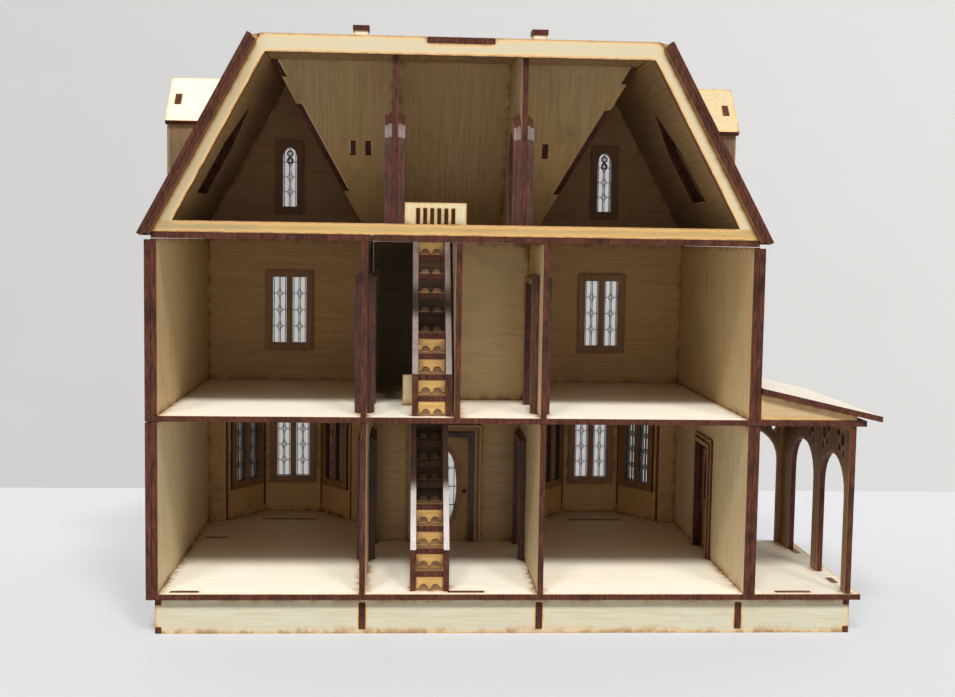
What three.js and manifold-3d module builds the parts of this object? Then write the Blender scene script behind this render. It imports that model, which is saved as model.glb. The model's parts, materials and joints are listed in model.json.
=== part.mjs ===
// Laser-cut plywood dollhouse: two storeys and an attic, open at the back, with two
// gabled wings with bays, a side porch, two stair flights and two hinged doors.
// X runs along the house, Y from the open back to the decorated front, Z up, millimetres.
import * as THREE from 'three';
import Module from 'manifold-3d';

const wasm = await Module();
wasm.setup();

// Stock and fits
const PLY = 3.4;
const SKIN = 2.6;
const FIT = 0.3;
const FAR = 600;
const OVERCUT = 1;
const SHEEN = 0.72;

// Storeys, heights of the walking surfaces
const GROUND_TOP = 24.9;
const SECOND_TOP = 130.8;
const ATTIC_TOP = 237.3;
const FOUNDATION_INSET = 4.5;

// Plan
const INNER_HALF = 174.4;
const SIDING_INNER = INNER_HALF + PLY + FIT;
const BODY_HALF = SIDING_INNER + PLY;
const ATTIC_HALF = 177.5;
const HALL_Y = 141;
const WING_Y = 202.3;
const SLAB_FRONT_Y = 216;
const PARTITION_X = [-54.9, 51.3];
const ATTIC_PARTITION_X = [-38.1, 37.4];
const WING_X = 115.4;
const RIDGE_X = 117.3;

// Porch
const PORCH_X = 246.5;
const PORCH_Y = 142.5;
const ARCADE_X = 237.2;
const SIDE_ARCADE_Y = [1, 140.5];
const SIDE_POSTS = [[1, 9.6], [55, 68.6], [116.4, 140.5]];
const HALF_POST = 3;
const SPRING_Z = 84;
const APEX_Z = 106.5;
const FRETWORK = [[5.6, 9.8, 4, 4.4], [3.2, 18.6, 1.8, 3.2], [11, 15.2, 2.1, 2.4], [13.6, 6.4, 3, 2.4]];
const FRET_SIDES = 12;
const ARCADE_SIDES = 6;
const LEAN_HIGH = 150.2;
const LEAN_LOW = 133.9;
const LEAN_X = [181.8, 255];
const LEAN_OVERHANG = 4;
const LEAN_END_INSET = 6;
const LEAN_END_Y = 0.4;
const BATTEN_X = [221.5, 225.5];
const BATTEN_Y = [1, 141.5];

// Bays
const BAY_MOUTH = 46.2;
const BAY_NOSE = 21.2;
const BAY_NOSE_Y = 241;
const BAY_CORNER_GAP = 1.7;
const BAY_SLAB_MOUTH = 47.5;
const BAY_SLAB_NOSE = 27.5;
const BAY_SLAB_Y = 248;
const BAY_FOOT_H = 5.2;
const BAY_EDGE = 1;
const TONGUE_Y = 212;

// Windows
const PANE_W = 10.2;
const MULLION = 4.2;
const PANE_H = 48.2;
const UPPER_SILL = 158.4;
const BAY_SILL = 52.3;
const GABLE_SILL = 258;
const GABLE_PANE_H = 43;
const LANDING_PANE_H = 56.2;
const LANCET_RISE = 0.7;
const LANCET_SIDES = 5;

// Doors and door openings
const DOOR_W = 34;
const DOOR_H = 73.5;
const DOOR_X = -1.8;
const OVAL_W = 16.6;
const OVAL_H = 52;
const OVAL_Z = 63;
const OVAL_SIDES = 36;
const SIDE_DOOR_Y = 109;
const KNOB_R = 1.3;
const KNOB_INSET = 3.2;
const KNOB_PROUD = 0.8;
const KNOB_Z = 60;
const KNOB_DETAIL = 2;
const SIDE_LIGHT = { width: 16, sill: 60, height: 30 };
const GROUND_OPENING = [90, 128, 99];
const UPPER_OPENING = [26, 64, 208];
const ATTIC_OPENING = [11, 43, 299];

// Stairs
const STAIR_X = [-26.4, -3.0];
const STAIR_Y = 9;
const STEPS = 9;
const RUN = 9;
const RAIL_RISE = 24.9;
const NOSING = 0.7;
const TREAD_EDGE = 3.4;
const WELL_X = [-27, -2.3];
const WELL_END_Y = 92;
const STRINGER_LEAD = 2;
const STRINGER_FOOT = 12;
const STRINGER_DEPTH = 18;
const STRINGER_END = 4;
const SOFFIT_DROP = 4;
const SOFFIT_START = 8;
const HOUSING = 0.2;

// Railings
const RAILING_X = [-32, 4.2];
const RAILING_H = 19.2;
const RAILING_POST = 5.8;
const RAILING_FOOT = 3;
const RAILING_CAP = 3.2;
const RAILING_SETBACK = 6;
const BALUSTERS = 6;
const GAP_START = 0.22;
const GAP_SHARE = 0.56;

// Roof
const ROOF_PITCH = THREE.MathUtils.degToRad(61.4);
const EAVE = [-185.3, 236.6];
const ROOF_Y = [-3, 210];
const SKIN_LENGTH = 131.2;
const PANEL_SETBACK = 2.6;
const VALLEY_SETBACK = 4.8;
const MAIN_EAVE_Y = 146;
const MAIN_OVERHANG = 4.5;
const MAIN_TABS = [[13.5, 32], [94, 121]];
const DECK_HALF = 117.2;
const DECK_GAP = 0.4;
const FRAME_BAND = 7.2;
const FRAME_TOP_BAND = 10.5;
const FRAME_SILL = 6.6;
const FRAME_TOP_Z = 351.5;
const RIDGE_TAB = [-19.8, 18.9];
const GABLE_EDGE_INSET = 4.8;
const ATTIC_WALL_SETBACK = 6;

// Dormers
const DORMER_Y = 101.5;
const DORMER_HALF = 22.5;
const DORMER_FACE_X = -181.5;
const DORMER_RIDGE_Z = 337.2;
const DORMER_EAVE_Z = 307.4;
const DORMER_ROOF_HALF = 26;
const DORMER_ROOF_X = -182.8;
const DORMER_HOLE_Z = [266, 297, 324];
const DORMER_LIGHT = { width: 20, sill: 264, height: 46 };
const DORMER_ROOF_END = -110;
const DORMER_CHEEK_END = -125;
const DORMER_TAB = [15, 24];
const DORMER_TAB_SINK = 1.2;

// Chimneys
const CHIMNEY_X = [-61.5, 56.3];
const CHIMNEY_Y = 114.6;
const CHIMNEY_TOP = 374.5;
const CHIMNEY_FOOT = 5.2;
const CHIMNEY_TENON = 5;
const CHIMNEY_BOTTOM = 250;
const SHAFT = { halfX: 7, halfY: 7, top: 345 };
const NECK = { halfX: 4.7, halfY: 5.4 };
const CAP = { halfX: 5.4, halfY: 6.2, height: 3.2 };
const BUTT = 2;

const GROUND_BASE = GROUND_TOP + FIT;
const SECOND_UNDER = SECOND_TOP - PLY;
const ATTIC_UNDER = ATTIC_TOP - PLY;

const group = new THREE.Group();
group.name = 'dollhouse';

// ---------- solids ----------

function toSolid(geometry) {
  const source = geometry.index ? geometry.toNonIndexed() : geometry;
  const points = source.attributes.position;
  const triangles = new Uint32Array(points.count);
  const vertices = new Float32Array(points.count * 3);
  for (let i = 0; i < points.count; i += 1) {
    triangles[i] = i;
    vertices[3 * i] = points.getX(i);
    vertices[3 * i + 1] = points.getY(i);
    vertices[3 * i + 2] = points.getZ(i);
  }
  const mesh = new wasm.Mesh({ numProp: 3, vertProperties: vertices, triVerts: triangles });
  mesh.merge();
  return new wasm.Manifold(mesh);
}

function toGeometry(solid) {
  const mesh = solid.getMesh();
  const indexed = new THREE.BufferGeometry();
  const vertices = new Float32Array(mesh.numVert * 3);
  for (let i = 0; i < mesh.numVert; i += 1) {
    for (let axis = 0; axis < 3; axis += 1) {
      vertices[3 * i + axis] = mesh.vertProperties[i * mesh.numProp + axis];
    }
  }
  indexed.setAttribute('position', new THREE.BufferAttribute(vertices, 3));
  indexed.setIndex(Array.from(mesh.triVerts));
  const flat = indexed.toNonIndexed();
  flat.computeVertexNormals();
  return flat;
}

function prism(place, outline, from, to) {
  const shape = new THREE.Shape(outline.map(([u, v]) => new THREE.Vector2(u, v)));
  const geometry = new THREE.ExtrudeGeometry(shape, { depth: to - from, bevelEnabled: false });
  geometry.translate(0, 0, from);
  geometry.applyMatrix4(place);
  return toSolid(geometry);
}

// A plate drawn in its own plane: origin, two edge directions, outline, holes, thickness.
// A negative thickness grows the plate on the other side of that plane.
function plateOn(origin, across, up, outline, holes = [], thickness = PLY) {
  const u = new THREE.Vector3(...across).normalize();
  const v = new THREE.Vector3(...up).normalize();
  const place = new THREE.Matrix4().makeBasis(u, v, new THREE.Vector3().crossVectors(u, v));
  place.setPosition(new THREE.Vector3(...origin));
  const from = Math.min(0, thickness);
  const to = Math.max(0, thickness);
  const body = prism(place, outline, from, to);
  const bore = (hole) => prism(place, hole, from - OVERCUT, to + OVERCUT);
  return holes.reduce((rest, hole) => rest.subtract(bore(hole)), body);
}

const slab = (z, outline, holes = []) => plateOn([0, 0, z], [1, 0, 0], [0, 1, 0], outline, holes);

// Plate facing the front or back; y is its near face.
const facing = (y, outline, holes = [], thickness = PLY) =>
  plateOn([0, y + thickness, 0], [1, 0, 0], [0, 0, 1], outline, holes, thickness);

// Plate facing the sides; x is its lesser face.
const sideways = (x, outline, holes = [], thickness = PLY) =>
  plateOn([x, 0, 0], [0, 1, 0], [0, 0, 1], outline, holes, thickness);

function block([x0, x1], [y0, y1], [z0, z1]) {
  const geometry = new THREE.BoxGeometry(x1 - x0, y1 - y0, z1 - z0);
  geometry.translate((x0 + x1) / 2, (y0 + y1) / 2, (z0 + z1) / 2);
  return toSolid(geometry);
}

const rect = (u0, u1, v0, v1) => [[u0, v0], [u1, v0], [u1, v1], [u0, v1]];

function union(solids) {
  return solids.reduce((sum, next) => sum.add(next));
}

function addPiece(name, solid, colour) {
  const material = new THREE.MeshStandardMaterial({ color: colour, roughness: SHEEN });
  const mesh = new THREE.Mesh(toGeometry(solid), material);
  mesh.name = name;
  material.name = name;
  group.add(mesh);
}

const FACE = 0xd9bf8c;
const WARM = 0xcfa968;

// Mirrors a solid from the left side of the house to the right side.
const mirrored = (solid) => solid.mirror([1, 0, 0]);

// ---------- outlines ----------

function ellipse(cu, cv, ru, rv, count) {
  const points = [];
  for (let i = 0; i < count; i += 1) {
    const angle = (2 * Math.PI * i) / count;
    points.push([cu + ru * Math.cos(angle), cv + rv * Math.sin(angle)]);
  }
  return points;
}

// Pointed arch, drawn from the right springing over the apex to the left.
function pointedArch(u0, u1, springing, apex, count) {
  const half = (u1 - u0) / 2;
  const rise = apex - springing;
  const radius = (half * half + rise * rise) / (2 * half);
  const sweep = Math.asin(Math.min(1, rise / radius));
  const points = [];
  for (let i = 0; i <= count; i += 1) {
    const angle = (sweep * i) / count;
    points.push([u1 - radius + radius * Math.cos(angle), springing + radius * Math.sin(angle)]);
  }
  for (let i = count - 1; i >= 0; i -= 1) {
    const angle = (sweep * i) / count;
    points.push([u0 + radius - radius * Math.cos(angle), springing + radius * Math.sin(angle)]);
  }
  return points;
}

function lancet(cu, width, sill, height) {
  const u0 = cu - width / 2;
  const u1 = cu + width / 2;
  const springing = sill + height - width * LANCET_RISE;
  return [[u0, sill], [u1, sill], ...pointedArch(u0, u1, springing, sill + height, LANCET_SIDES)];
}

// Two panes side by side, centred on cu.
function twinPanes(cu, sill) {
  const offset = MULLION / 2;
  return [
    rect(cu - offset - PANE_W, cu - offset, sill, sill + PANE_H),
    rect(cu + offset, cu + offset + PANE_W, sill, sill + PANE_H),
  ];
}

// Wall with a doorway cut up from its bottom edge.
function doorwayWall(y0, y1, z0, z1, [d0, d1, head]) {
  return [[y0, z0], [d0, z0], [d0, head], [d1, head], [d1, z0], [y1, z0], [y1, z1], [y0, z1]];
}

// ---------- foundation ----------

const FOUND_TOP = GROUND_TOP - PLY - FIT;
const FINGER = 3.6;
const BACK_Y = FOUNDATION_INSET;
const FRONT_Y = SLAB_FRONT_Y - FOUNDATION_INSET - PLY;
const LEFT_X = -BODY_HALF + FOUNDATION_INSET;
const PORCH_SIDE_X = ARCADE_X + 0.8;
const RIB_X = [PARTITION_X[0], PARTITION_X[1], INNER_HALF - PLY / 2];
const BACK_TABS = [[-168, -152], [-3.5, 17.7], [196, 217]];
const BAY_TAB_HALF = 19.5;
const PORCH_TABS = [[27, 39], [104, 117]];
const RIB_TAB = [2.8, 18.6];
const PORCH_WALL_Y = PORCH_Y - FOUNDATION_INSET - PLY;

function tabbedTop(u0, u1, top, tabs, height) {
  const points = [];
  for (const [a, b] of [...tabs].reverse()) {
    points.push([b, top], [b, top + height], [a, top + height], [a, top]);
  }
  return [[u0, 0], [u1, 0], [u1, top], ...points, [u0, top]];
}

const tabRise = FIT + PLY;
const backEnd = PORCH_SIDE_X + PLY;
const backThrough = [BACK_Y - OVERCUT, BACK_Y + PLY + OVERCUT];
const cornerFingers = (x0, x1) => [
  block([x0, x1], backThrough, [-OVERCUT, FINGER + FIT]),
  block([x0, x1], backThrough, [FOUND_TOP - FINGER - FIT, FOUND_TOP + OVERCUT]),
];
const ribReach = PLY / 2 + FIT;
const ribSlots = RIB_X.map((x) =>
  block([x - ribReach, x + ribReach], backThrough, [RIB_TAB[0] - FIT, RIB_TAB[1] + FIT]));
const backCuts = [
  ...ribSlots,
  ...cornerFingers(LEFT_X - OVERCUT, LEFT_X + PLY + FIT),
  ...cornerFingers(backEnd - PLY - FIT, backEnd + OVERCUT),
];
const backPlain = facing(BACK_Y, tabbedTop(LEFT_X, backEnd, FOUND_TOP, BACK_TABS, tabRise));
addPiece('foundation_back', backPlain.subtract(union(backCuts)), FACE);

// End plates keep fingers top and bottom that show at the corners of the back plate.
function fingeredSide(x, y1, tabs) {
  const start = BACK_Y;
  const body = BACK_Y + PLY + FIT;
  const points = [];
  for (const [a, b] of [...tabs].reverse()) {
    points.push([b, FOUND_TOP], [b, FOUND_TOP + tabRise], [a, FOUND_TOP + tabRise], [a, FOUND_TOP]);
  }
  return sideways(x, [
    [start, 0], [y1, 0], [y1, FOUND_TOP], ...points, [start, FOUND_TOP],
    [start, FOUND_TOP - FINGER], [body, FOUND_TOP - FINGER], [body, FINGER], [start, FINGER],
  ]);
}
addPiece('foundation_left', fingeredSide(LEFT_X, FRONT_Y - FIT, []), FACE);

RIB_X.forEach((x, i) => {
  const y0 = BACK_Y + PLY + FIT;
  const outline = [
    [y0, 0], [FRONT_Y - FIT, 0], [FRONT_Y - FIT, FOUND_TOP], [y0, FOUND_TOP],
    [y0, RIB_TAB[1]], [BACK_Y, RIB_TAB[1]], [BACK_Y, RIB_TAB[0]], [y0, RIB_TAB[0]],
  ];
  addPiece(`foundation_rib_${i + 1}`, sideways(x - PLY / 2, outline), FACE);
});

const bayTabs = [-WING_X, WING_X].map((x) => [x - BAY_TAB_HALF, x + BAY_TAB_HALF]);
const frontEnd = RIB_X[2] + PLY / 2;
const frontOutline = tabbedTop(LEFT_X, frontEnd, FOUND_TOP, bayTabs, tabRise);
addPiece('foundation_front', facing(FRONT_Y, frontOutline), FACE);
addPiece('foundation_porch', fingeredSide(PORCH_SIDE_X, PORCH_WALL_Y + PLY, PORCH_TABS)
  .add(facing(PORCH_WALL_Y, rect(frontEnd + FIT, backEnd, 0, FOUND_TOP))), FACE);

// ---------- floors ----------

const bayNose = (cx) => [
  [cx + BAY_SLAB_MOUTH, SLAB_FRONT_Y], [cx + BAY_SLAB_NOSE, BAY_SLAB_Y],
  [cx - BAY_SLAB_NOSE, BAY_SLAB_Y], [cx - BAY_SLAB_MOUTH, SLAB_FRONT_Y],
];
const groundOutline = [
  [-BODY_HALF, 0], [PORCH_X, 0], [PORCH_X, PORCH_Y], [BODY_HALF, PORCH_Y],
  [BODY_HALF, SLAB_FRONT_Y], ...bayNose(WING_X), ...bayNose(-WING_X),
  [-BODY_HALF, SLAB_FRONT_Y],
];
const slotAround = (u0, u1, v0, v1) => rect(u0 - FIT, u1 + FIT, v0 - FIT, v1 + FIT);
const groundSlots = [
  ...BACK_TABS.map(([a, b]) => slotAround(a, b, BACK_Y, BACK_Y + PLY)),
  ...bayTabs.map(([a, b]) => slotAround(a, b, FRONT_Y, FRONT_Y + PLY)),
  ...PORCH_TABS.map(([a, b]) => slotAround(PORCH_SIDE_X, PORCH_SIDE_X + PLY, a, b)),
];
addPiece('floor_ground', slab(GROUND_TOP - PLY, groundOutline, groundSlots), FACE);

const wallEndY = WING_Y - FIT;
const partitionFaces = [PARTITION_X[0] + PLY / 2, PARTITION_X[1] - PLY / 2];
const bayTongue = (cx) => {
  const mouth = BAY_MOUTH - FIT;
  return [
    [cx + mouth, wallEndY], [cx + mouth, TONGUE_Y], [cx + BAY_SLAB_NOSE, BAY_SLAB_Y],
    [cx - BAY_SLAB_NOSE, BAY_SLAB_Y], [cx - mouth, TONGUE_Y], [cx - mouth, wallEndY],
  ];
};
const secondOutline = [
  [-BODY_HALF, 0], [PORCH_X, 0], [PORCH_X, PORCH_Y], [BODY_HALF, PORCH_Y],
  [BODY_HALF, wallEndY], ...bayTongue(WING_X), [partitionFaces[1], wallEndY],
  [partitionFaces[1], HALL_Y - FIT], [partitionFaces[0], HALL_Y - FIT],
  [partitionFaces[0], wallEndY], ...bayTongue(-WING_X), [-BODY_HALF, wallEndY],
];
const SECOND_WELL_Y = 64;
addPiece('floor_second',
  slab(SECOND_UNDER, secondOutline, [rect(...WELL_X, SECOND_WELL_Y, WELL_END_Y)]), FACE);

const ATTIC_WELL_Y = 13;
const atticOutline = [
  [-ATTIC_HALF, 0], [ATTIC_HALF, 0], [ATTIC_HALF, wallEndY], [-partitionFaces[0], wallEndY],
  [-partitionFaces[0], HALL_Y + PLY], [partitionFaces[0], HALL_Y + PLY],
  [partitionFaces[0], wallEndY], [-ATTIC_HALF, wallEndY],
];
addPiece('floor_attic',
  slab(ATTIC_UNDER, atticOutline, [rect(...WELL_X, ATTIC_WELL_Y, WELL_END_Y)]), FACE);

// ---------- side walls and siding ----------

const storeys = [
  { tag: 'lower', base: GROUND_BASE, top: SECOND_UNDER - FIT },
  { tag: 'upper', base: SECOND_TOP + FIT, top: ATTIC_UNDER - FIT },
];
const SIDING_DROP = 0.6;
const sideDoorway = [
  SIDE_DOOR_Y - DOOR_W / 2 - FIT, SIDE_DOOR_Y + DOOR_W / 2 + FIT, GROUND_BASE + DOOR_H + FIT,
];
for (const { tag, base, top } of storeys) {
  const plain = rect(0, wallEndY, base, top);
  const plainSiding = rect(0, wallEndY, base, top - SIDING_DROP);
  const withDoor = doorwayWall(0, wallEndY, base, top, sideDoorway);
  const sidingDoor = doorwayWall(0, wallEndY, base, top - SIDING_DROP, sideDoorway);
  const isLower = tag === 'lower';
  addPiece(`wall_left_${tag}`, sideways(-INNER_HALF - PLY, plain), FACE);
  addPiece(`siding_left_${tag}`, sideways(-BODY_HALF, plainSiding), FACE);
  addPiece(`wall_right_${tag}`, sideways(INNER_HALF, isLower ? withDoor : plain), FACE);
  addPiece(`siding_right_${tag}`, sideways(SIDING_INNER, isLower ? sidingDoor : plainSiding), FACE);
}

// ---------- roof planes ----------

const slopeCos = Math.cos(ROOF_PITCH);
const slopeSin = Math.sin(ROOF_PITCH);
const stack = SKIN + FIT + PLY;

// Point on the left roof: distance up the slope from the eave, depth below the outer face.
function roofPoint(along, depth) {
  return [
    EAVE[0] + along * slopeCos + depth * slopeSin,
    EAVE[1] + along * slopeSin - depth * slopeCos,
  ];
}

// Height of a plane parallel to the left roof, at a depth below its outer face, above x.
function roofHeight(x, depth) {
  const [x0, z0] = roofPoint(0, depth);
  return z0 + (x - x0) * Math.tan(ROOF_PITCH);
}

function sloped(from, to, depth, thickness, holes = []) {
  const [x0, z0] = roofPoint(0, depth + thickness);
  const outline = rect(ROOF_Y[0], ROOF_Y[1], from, to);
  return plateOn([x0, 0, z0], [0, 1, 0], [slopeCos, 0, slopeSin], outline, holes, -thickness);
}

// ---------- facades ----------

const mainTan = Math.tan(ROOF_PITCH);
const mainTopZ = FRAME_TOP_Z - PLY * slopeCos;
const mainTopY = MAIN_EAVE_Y - (mainTopZ - ATTIC_TOP - FIT) / mainTan;
const mainUnder = (y) => ATTIC_TOP + FIT + (MAIN_EAVE_Y - y) * mainTan;

const gableDepth = stack + FIT;
const gableApex = roofHeight(-RIDGE_X, gableDepth);
const outerEdgeX = -BODY_HALF + GABLE_EDGE_INSET;
const wingOutline = (innerFoot) => [
  [-BODY_HALF, GROUND_BASE], [-WING_X - BAY_MOUTH, GROUND_BASE],
  [-WING_X - BAY_MOUTH, SECOND_TOP + FIT], [-WING_X + BAY_MOUTH, SECOND_TOP + FIT],
  [-WING_X + BAY_MOUTH, GROUND_BASE], [innerFoot, GROUND_BASE],
  [innerFoot, roofHeight(-2 * RIDGE_X - innerFoot, gableDepth)],
  [-RIDGE_X, gableApex],
  [outerEdgeX, roofHeight(outerEdgeX, gableDepth)], [outerEdgeX, ATTIC_UNDER - FIT - SIDING_DROP],
  [-BODY_HALF, ATTIC_UNDER - FIT - SIDING_DROP],
];
const wingFront = (innerFoot) => facing(WING_Y, wingOutline(innerFoot), [
  ...twinPanes(-WING_X, UPPER_SILL),
  lancet(-WING_X, PANE_W, GABLE_SILL, GABLE_PANE_H),
]);
addPiece('wing_front_left', wingFront(partitionFaces[0]), FACE);
addPiece('wing_front_right', mirrored(wingFront(-partitionFaces[1])), FACE);

const hallTop = ATTIC_UNDER - FIT;
const hallEdges = [partitionFaces[0] + FIT, partitionFaces[1] - FIT];
const doorHalf = DOOR_W / 2 + FIT;
const doorHead = GROUND_BASE + DOOR_H + FIT;
const hallOutline = [
  [hallEdges[0], GROUND_BASE], [DOOR_X - doorHalf, GROUND_BASE], [DOOR_X - doorHalf, doorHead],
  [DOOR_X + doorHalf, doorHead], [DOOR_X + doorHalf, GROUND_BASE], [hallEdges[1], GROUND_BASE],
  [hallEdges[1], hallTop], [hallEdges[0], hallTop],
];
const landingWindow = lancet(DOOR_X, 2 * PANE_W + MULLION, UPPER_SILL, LANDING_PANE_H);
addPiece('hall_front', facing(HALL_Y, hallOutline, [landingWindow]), FACE);

// ---------- partitions ----------

const sides = ['left', 'right'];
sides.forEach((side, i) => {
  const x = PARTITION_X[i] - PLY / 2;
  const [low, high] = storeys;
  const lowerWall = doorwayWall(0, wallEndY, low.base, low.top, GROUND_OPENING);
  const upperWall = doorwayWall(0, wallEndY, high.base, high.top, UPPER_OPENING);
  addPiece(`partition_${side}_lower`, sideways(x, lowerWall), FACE);
  addPiece(`partition_${side}_upper`, sideways(x, upperWall), FACE);
  const [d0, d1, head] = ATTIC_OPENING;
  const foot = ATTIC_TOP + FIT;
  const near = PLY + FIT;
  const far = MAIN_EAVE_Y - ATTIC_WALL_SETBACK;
  const deckUnder = FRAME_TOP_Z - PLY - FIT;
  const clearance = FIT / slopeCos;
  const bend = MAIN_EAVE_Y - (deckUnder + clearance - foot) / mainTan;
  addPiece(`partition_${side}_attic`, sideways(ATTIC_PARTITION_X[i] - PLY / 2, [
    [near, foot], [d0, foot], [d0, head], [d1, head], [d1, foot], [far, foot],
    [far, mainUnder(far) - clearance], [bend, deckUnder], [near, deckUnder],
  ]), FACE);
});

const BATH_X = 0.2;
const BATH_Y = 91;
const upper = storeys[1];
addPiece('bath_side_wall', sideways(BATH_X - PLY / 2, rect(0, BATH_Y + PLY, upper.base, upper.top)), FACE);
addPiece('bath_back_wall', facing(BATH_Y,
  rect(BATH_X + PLY / 2 + FIT, hallEdges[1], upper.base, upper.top)), FACE);

// ---------- stairs ----------

function stairFlight(base, rise) {
  const riser = rise / STEPS;
  const [x0, x1] = STAIR_X;
  const profile = [[STAIR_Y, base]];
  for (let i = 0; i < STEPS; i += 1) {
    const y = STAIR_Y + i * RUN;
    const z = base + (i + 1) * riser;
    const last = i === STEPS - 1;
    profile.push([y, z - TREAD_EDGE], [y - NOSING, z - TREAD_EDGE], [y - NOSING, z]);
    profile.push([last ? y + PLY : y + RUN, z]);
  }
  const topY = STAIR_Y + (STEPS - 1) * RUN;
  const soffitEnd = base + (STEPS - 1) * riser - SOFFIT_DROP;
  profile.push([topY + PLY, soffitEnd], [STAIR_Y + SOFFIT_START, base]);
  const inside = x1 - x0 - 2 * PLY;
  const steps = sideways(x0 + PLY - HOUSING, profile, [], inside + 2 * HOUSING);
  const front = STAIR_Y - STRINGER_LEAD;
  const backEdge = WELL_END_Y - STRINGER_END;
  const climb = rise / (STEPS * RUN);
  const lineEnd = base + (backEdge - front) * climb;
  const stringer = [
    [front, base], [front + STRINGER_FOOT, base], [backEdge, lineEnd - STRINGER_DEPTH],
    [backEdge, lineEnd + RAIL_RISE], [front, base + RAIL_RISE],
  ];
  const flight = union([steps, sideways(x0, stringer), sideways(x1 - PLY, stringer)]);
  return flight.intersect(block([-FAR, FAR], [0, FAR], [0, base + rise]));
}
addPiece('stair_lower', stairFlight(GROUND_BASE, SECOND_TOP - GROUND_TOP), WARM);
addPiece('stair_upper', stairFlight(SECOND_TOP + FIT, ATTIC_TOP - SECOND_TOP), WARM);

function railing(y, base, x0, x1) {
  const slots = [];
  const pitch = (x1 - x0 - 2 * RAILING_POST) / BALUSTERS;
  for (let i = 0; i < BALUSTERS; i += 1) {
    const a = x0 + RAILING_POST + (i + GAP_START) * pitch;
    slots.push(rect(a, a + pitch * GAP_SHARE, base + RAILING_FOOT, base + RAILING_H - RAILING_CAP));
  }
  return facing(y, rect(x0, x1, base, base + RAILING_H), slots);
}
const atticFoot = ATTIC_TOP + FIT;
addPiece('railing_attic', railing(PLY + FIT, atticFoot, ...RAILING_X), WARM);
const secondRailEnd = BATH_X - PLY / 2 - FIT;
addPiece('railing_second', railing(SECOND_WELL_Y - RAILING_SETBACK, SECOND_TOP + FIT,
  RAILING_X[0], secondRailEnd), WARM);

// ---------- roof ----------

// House-shaped hole through the roof into each dormer.
const holeHalf = DORMER_HALF - PLY - FIT;
const [holeFoot, holeEave, holeApex] = DORMER_HOLE_Z.map((z) => (z - EAVE[1]) / slopeSin);
const dormerHole = [
  [DORMER_Y - holeHalf, holeFoot], [DORMER_Y + holeHalf, holeFoot],
  [DORMER_Y + holeHalf, holeEave], [DORMER_Y, holeApex], [DORMER_Y - holeHalf, holeEave],
];
const panelTop = (-RIDGE_X - FIT - EAVE[0] - stack * slopeSin) / slopeCos;
const leftSkin = sloped(0, SKIN_LENGTH, 0, SKIN, [dormerHole]);
const leftPanel = sloped(PANEL_SETBACK, panelTop, SKIN + FIT, PLY, [dormerHole]);
addPiece('roof_skin_left', leftSkin, WARM);
addPiece('roof_skin_right', mirrored(leftSkin), WARM);
addPiece('roof_panel_left', leftPanel, FACE);
addPiece('roof_panel_right', mirrored(leftPanel), FACE);

// Main slope in its own plane: outer face of the panel, falling from the back to the front.
const mainDown = [0, slopeCos, -slopeSin];
const mainNormal = [0, slopeSin, slopeCos];
const mainLength = (MAIN_EAVE_Y - mainTopY) / slopeCos + MAIN_OVERHANG;
const mainOrigin = [0, mainTopY, mainTopZ];
const mainPlate = (outline, lift = 0, thickness = PLY) => plateOn(
  mainOrigin.map((value, i) => value + mainNormal[i] * lift),
  [1, 0, 0], mainDown, outline, [], thickness,
);

// Everything on the wing side of a plane parallel to the inner slope of the left wing.
function wingSide(depth) {
  const [x0, z0] = roofPoint(0, depth);
  const solid = plateOn([x0, 0, z0], [0, 1, 0], [slopeCos, 0, slopeSin],
    rect(-FAR, FAR, -FAR, FAR), [], FAR);
  return solid.mirror([1, 0, 0]).translate([-2 * RIDGE_X, 0, 0]);
}
const wingBlock = wingSide(SKIN);
function mainWedge(pad) {
  const zones = MAIN_TABS.map(([a, b]) =>
    mainPlate(rect(-FAR / 2, 0, a - pad, b + pad), -pad, PLY + 2 * pad));
  return union(zones);
}
const tabReach = wingSide(stack - FIT);
const chimneyAlong = (CHIMNEY_Y - mainTopY) / slopeCos;
const chimneyFeet = (x) => [-1, 1].map((side) => x + side * CHIMNEY_FOOT);
const footSpan = [chimneyAlong - CHIMNEY_TENON, chimneyAlong + CHIMNEY_TENON];
const chimneySlots = CHIMNEY_X.flatMap(chimneyFeet).map((cx) => mainPlate(
  slotAround(cx - PLY / 2, cx + PLY / 2, ...footSpan), -OVERCUT, PLY + 2 * OVERCUT));
const mainFull = mainPlate(rect(-RIDGE_X, RIDGE_X, 0, mainLength));
const leftHalf = block([-FAR, 0], [-FAR, FAR], [0, FAR]);
const plainHalf = mainFull.intersect(leftHalf).subtract(wingBlock);
const tabs = mainWedge(0).intersect(mainFull).intersect(leftHalf).subtract(tabReach);
const halfSlope = plainHalf.add(tabs);
const mainSlope = halfSlope.add(mirrored(halfSlope)).subtract(union(chimneySlots));
addPiece('roof_front_slope', mainSlope, FACE);

// Flat deck between the back frame and the front slope, with a tab notched into the frame.
const deckBack = PLY + FIT;
const deckFront = mainTopY - DECK_GAP;
addPiece('roof_deck', slab(FRAME_TOP_Z - PLY, [
  [-DECK_HALF, deckBack], [RIDGE_TAB[0], deckBack], [RIDGE_TAB[0], 0], [RIDGE_TAB[1], 0],
  [RIDGE_TAB[1], deckBack], [DECK_HALF, deckBack], [DECK_HALF, deckFront], [-DECK_HALF, deckFront],
]), FACE);

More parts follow.
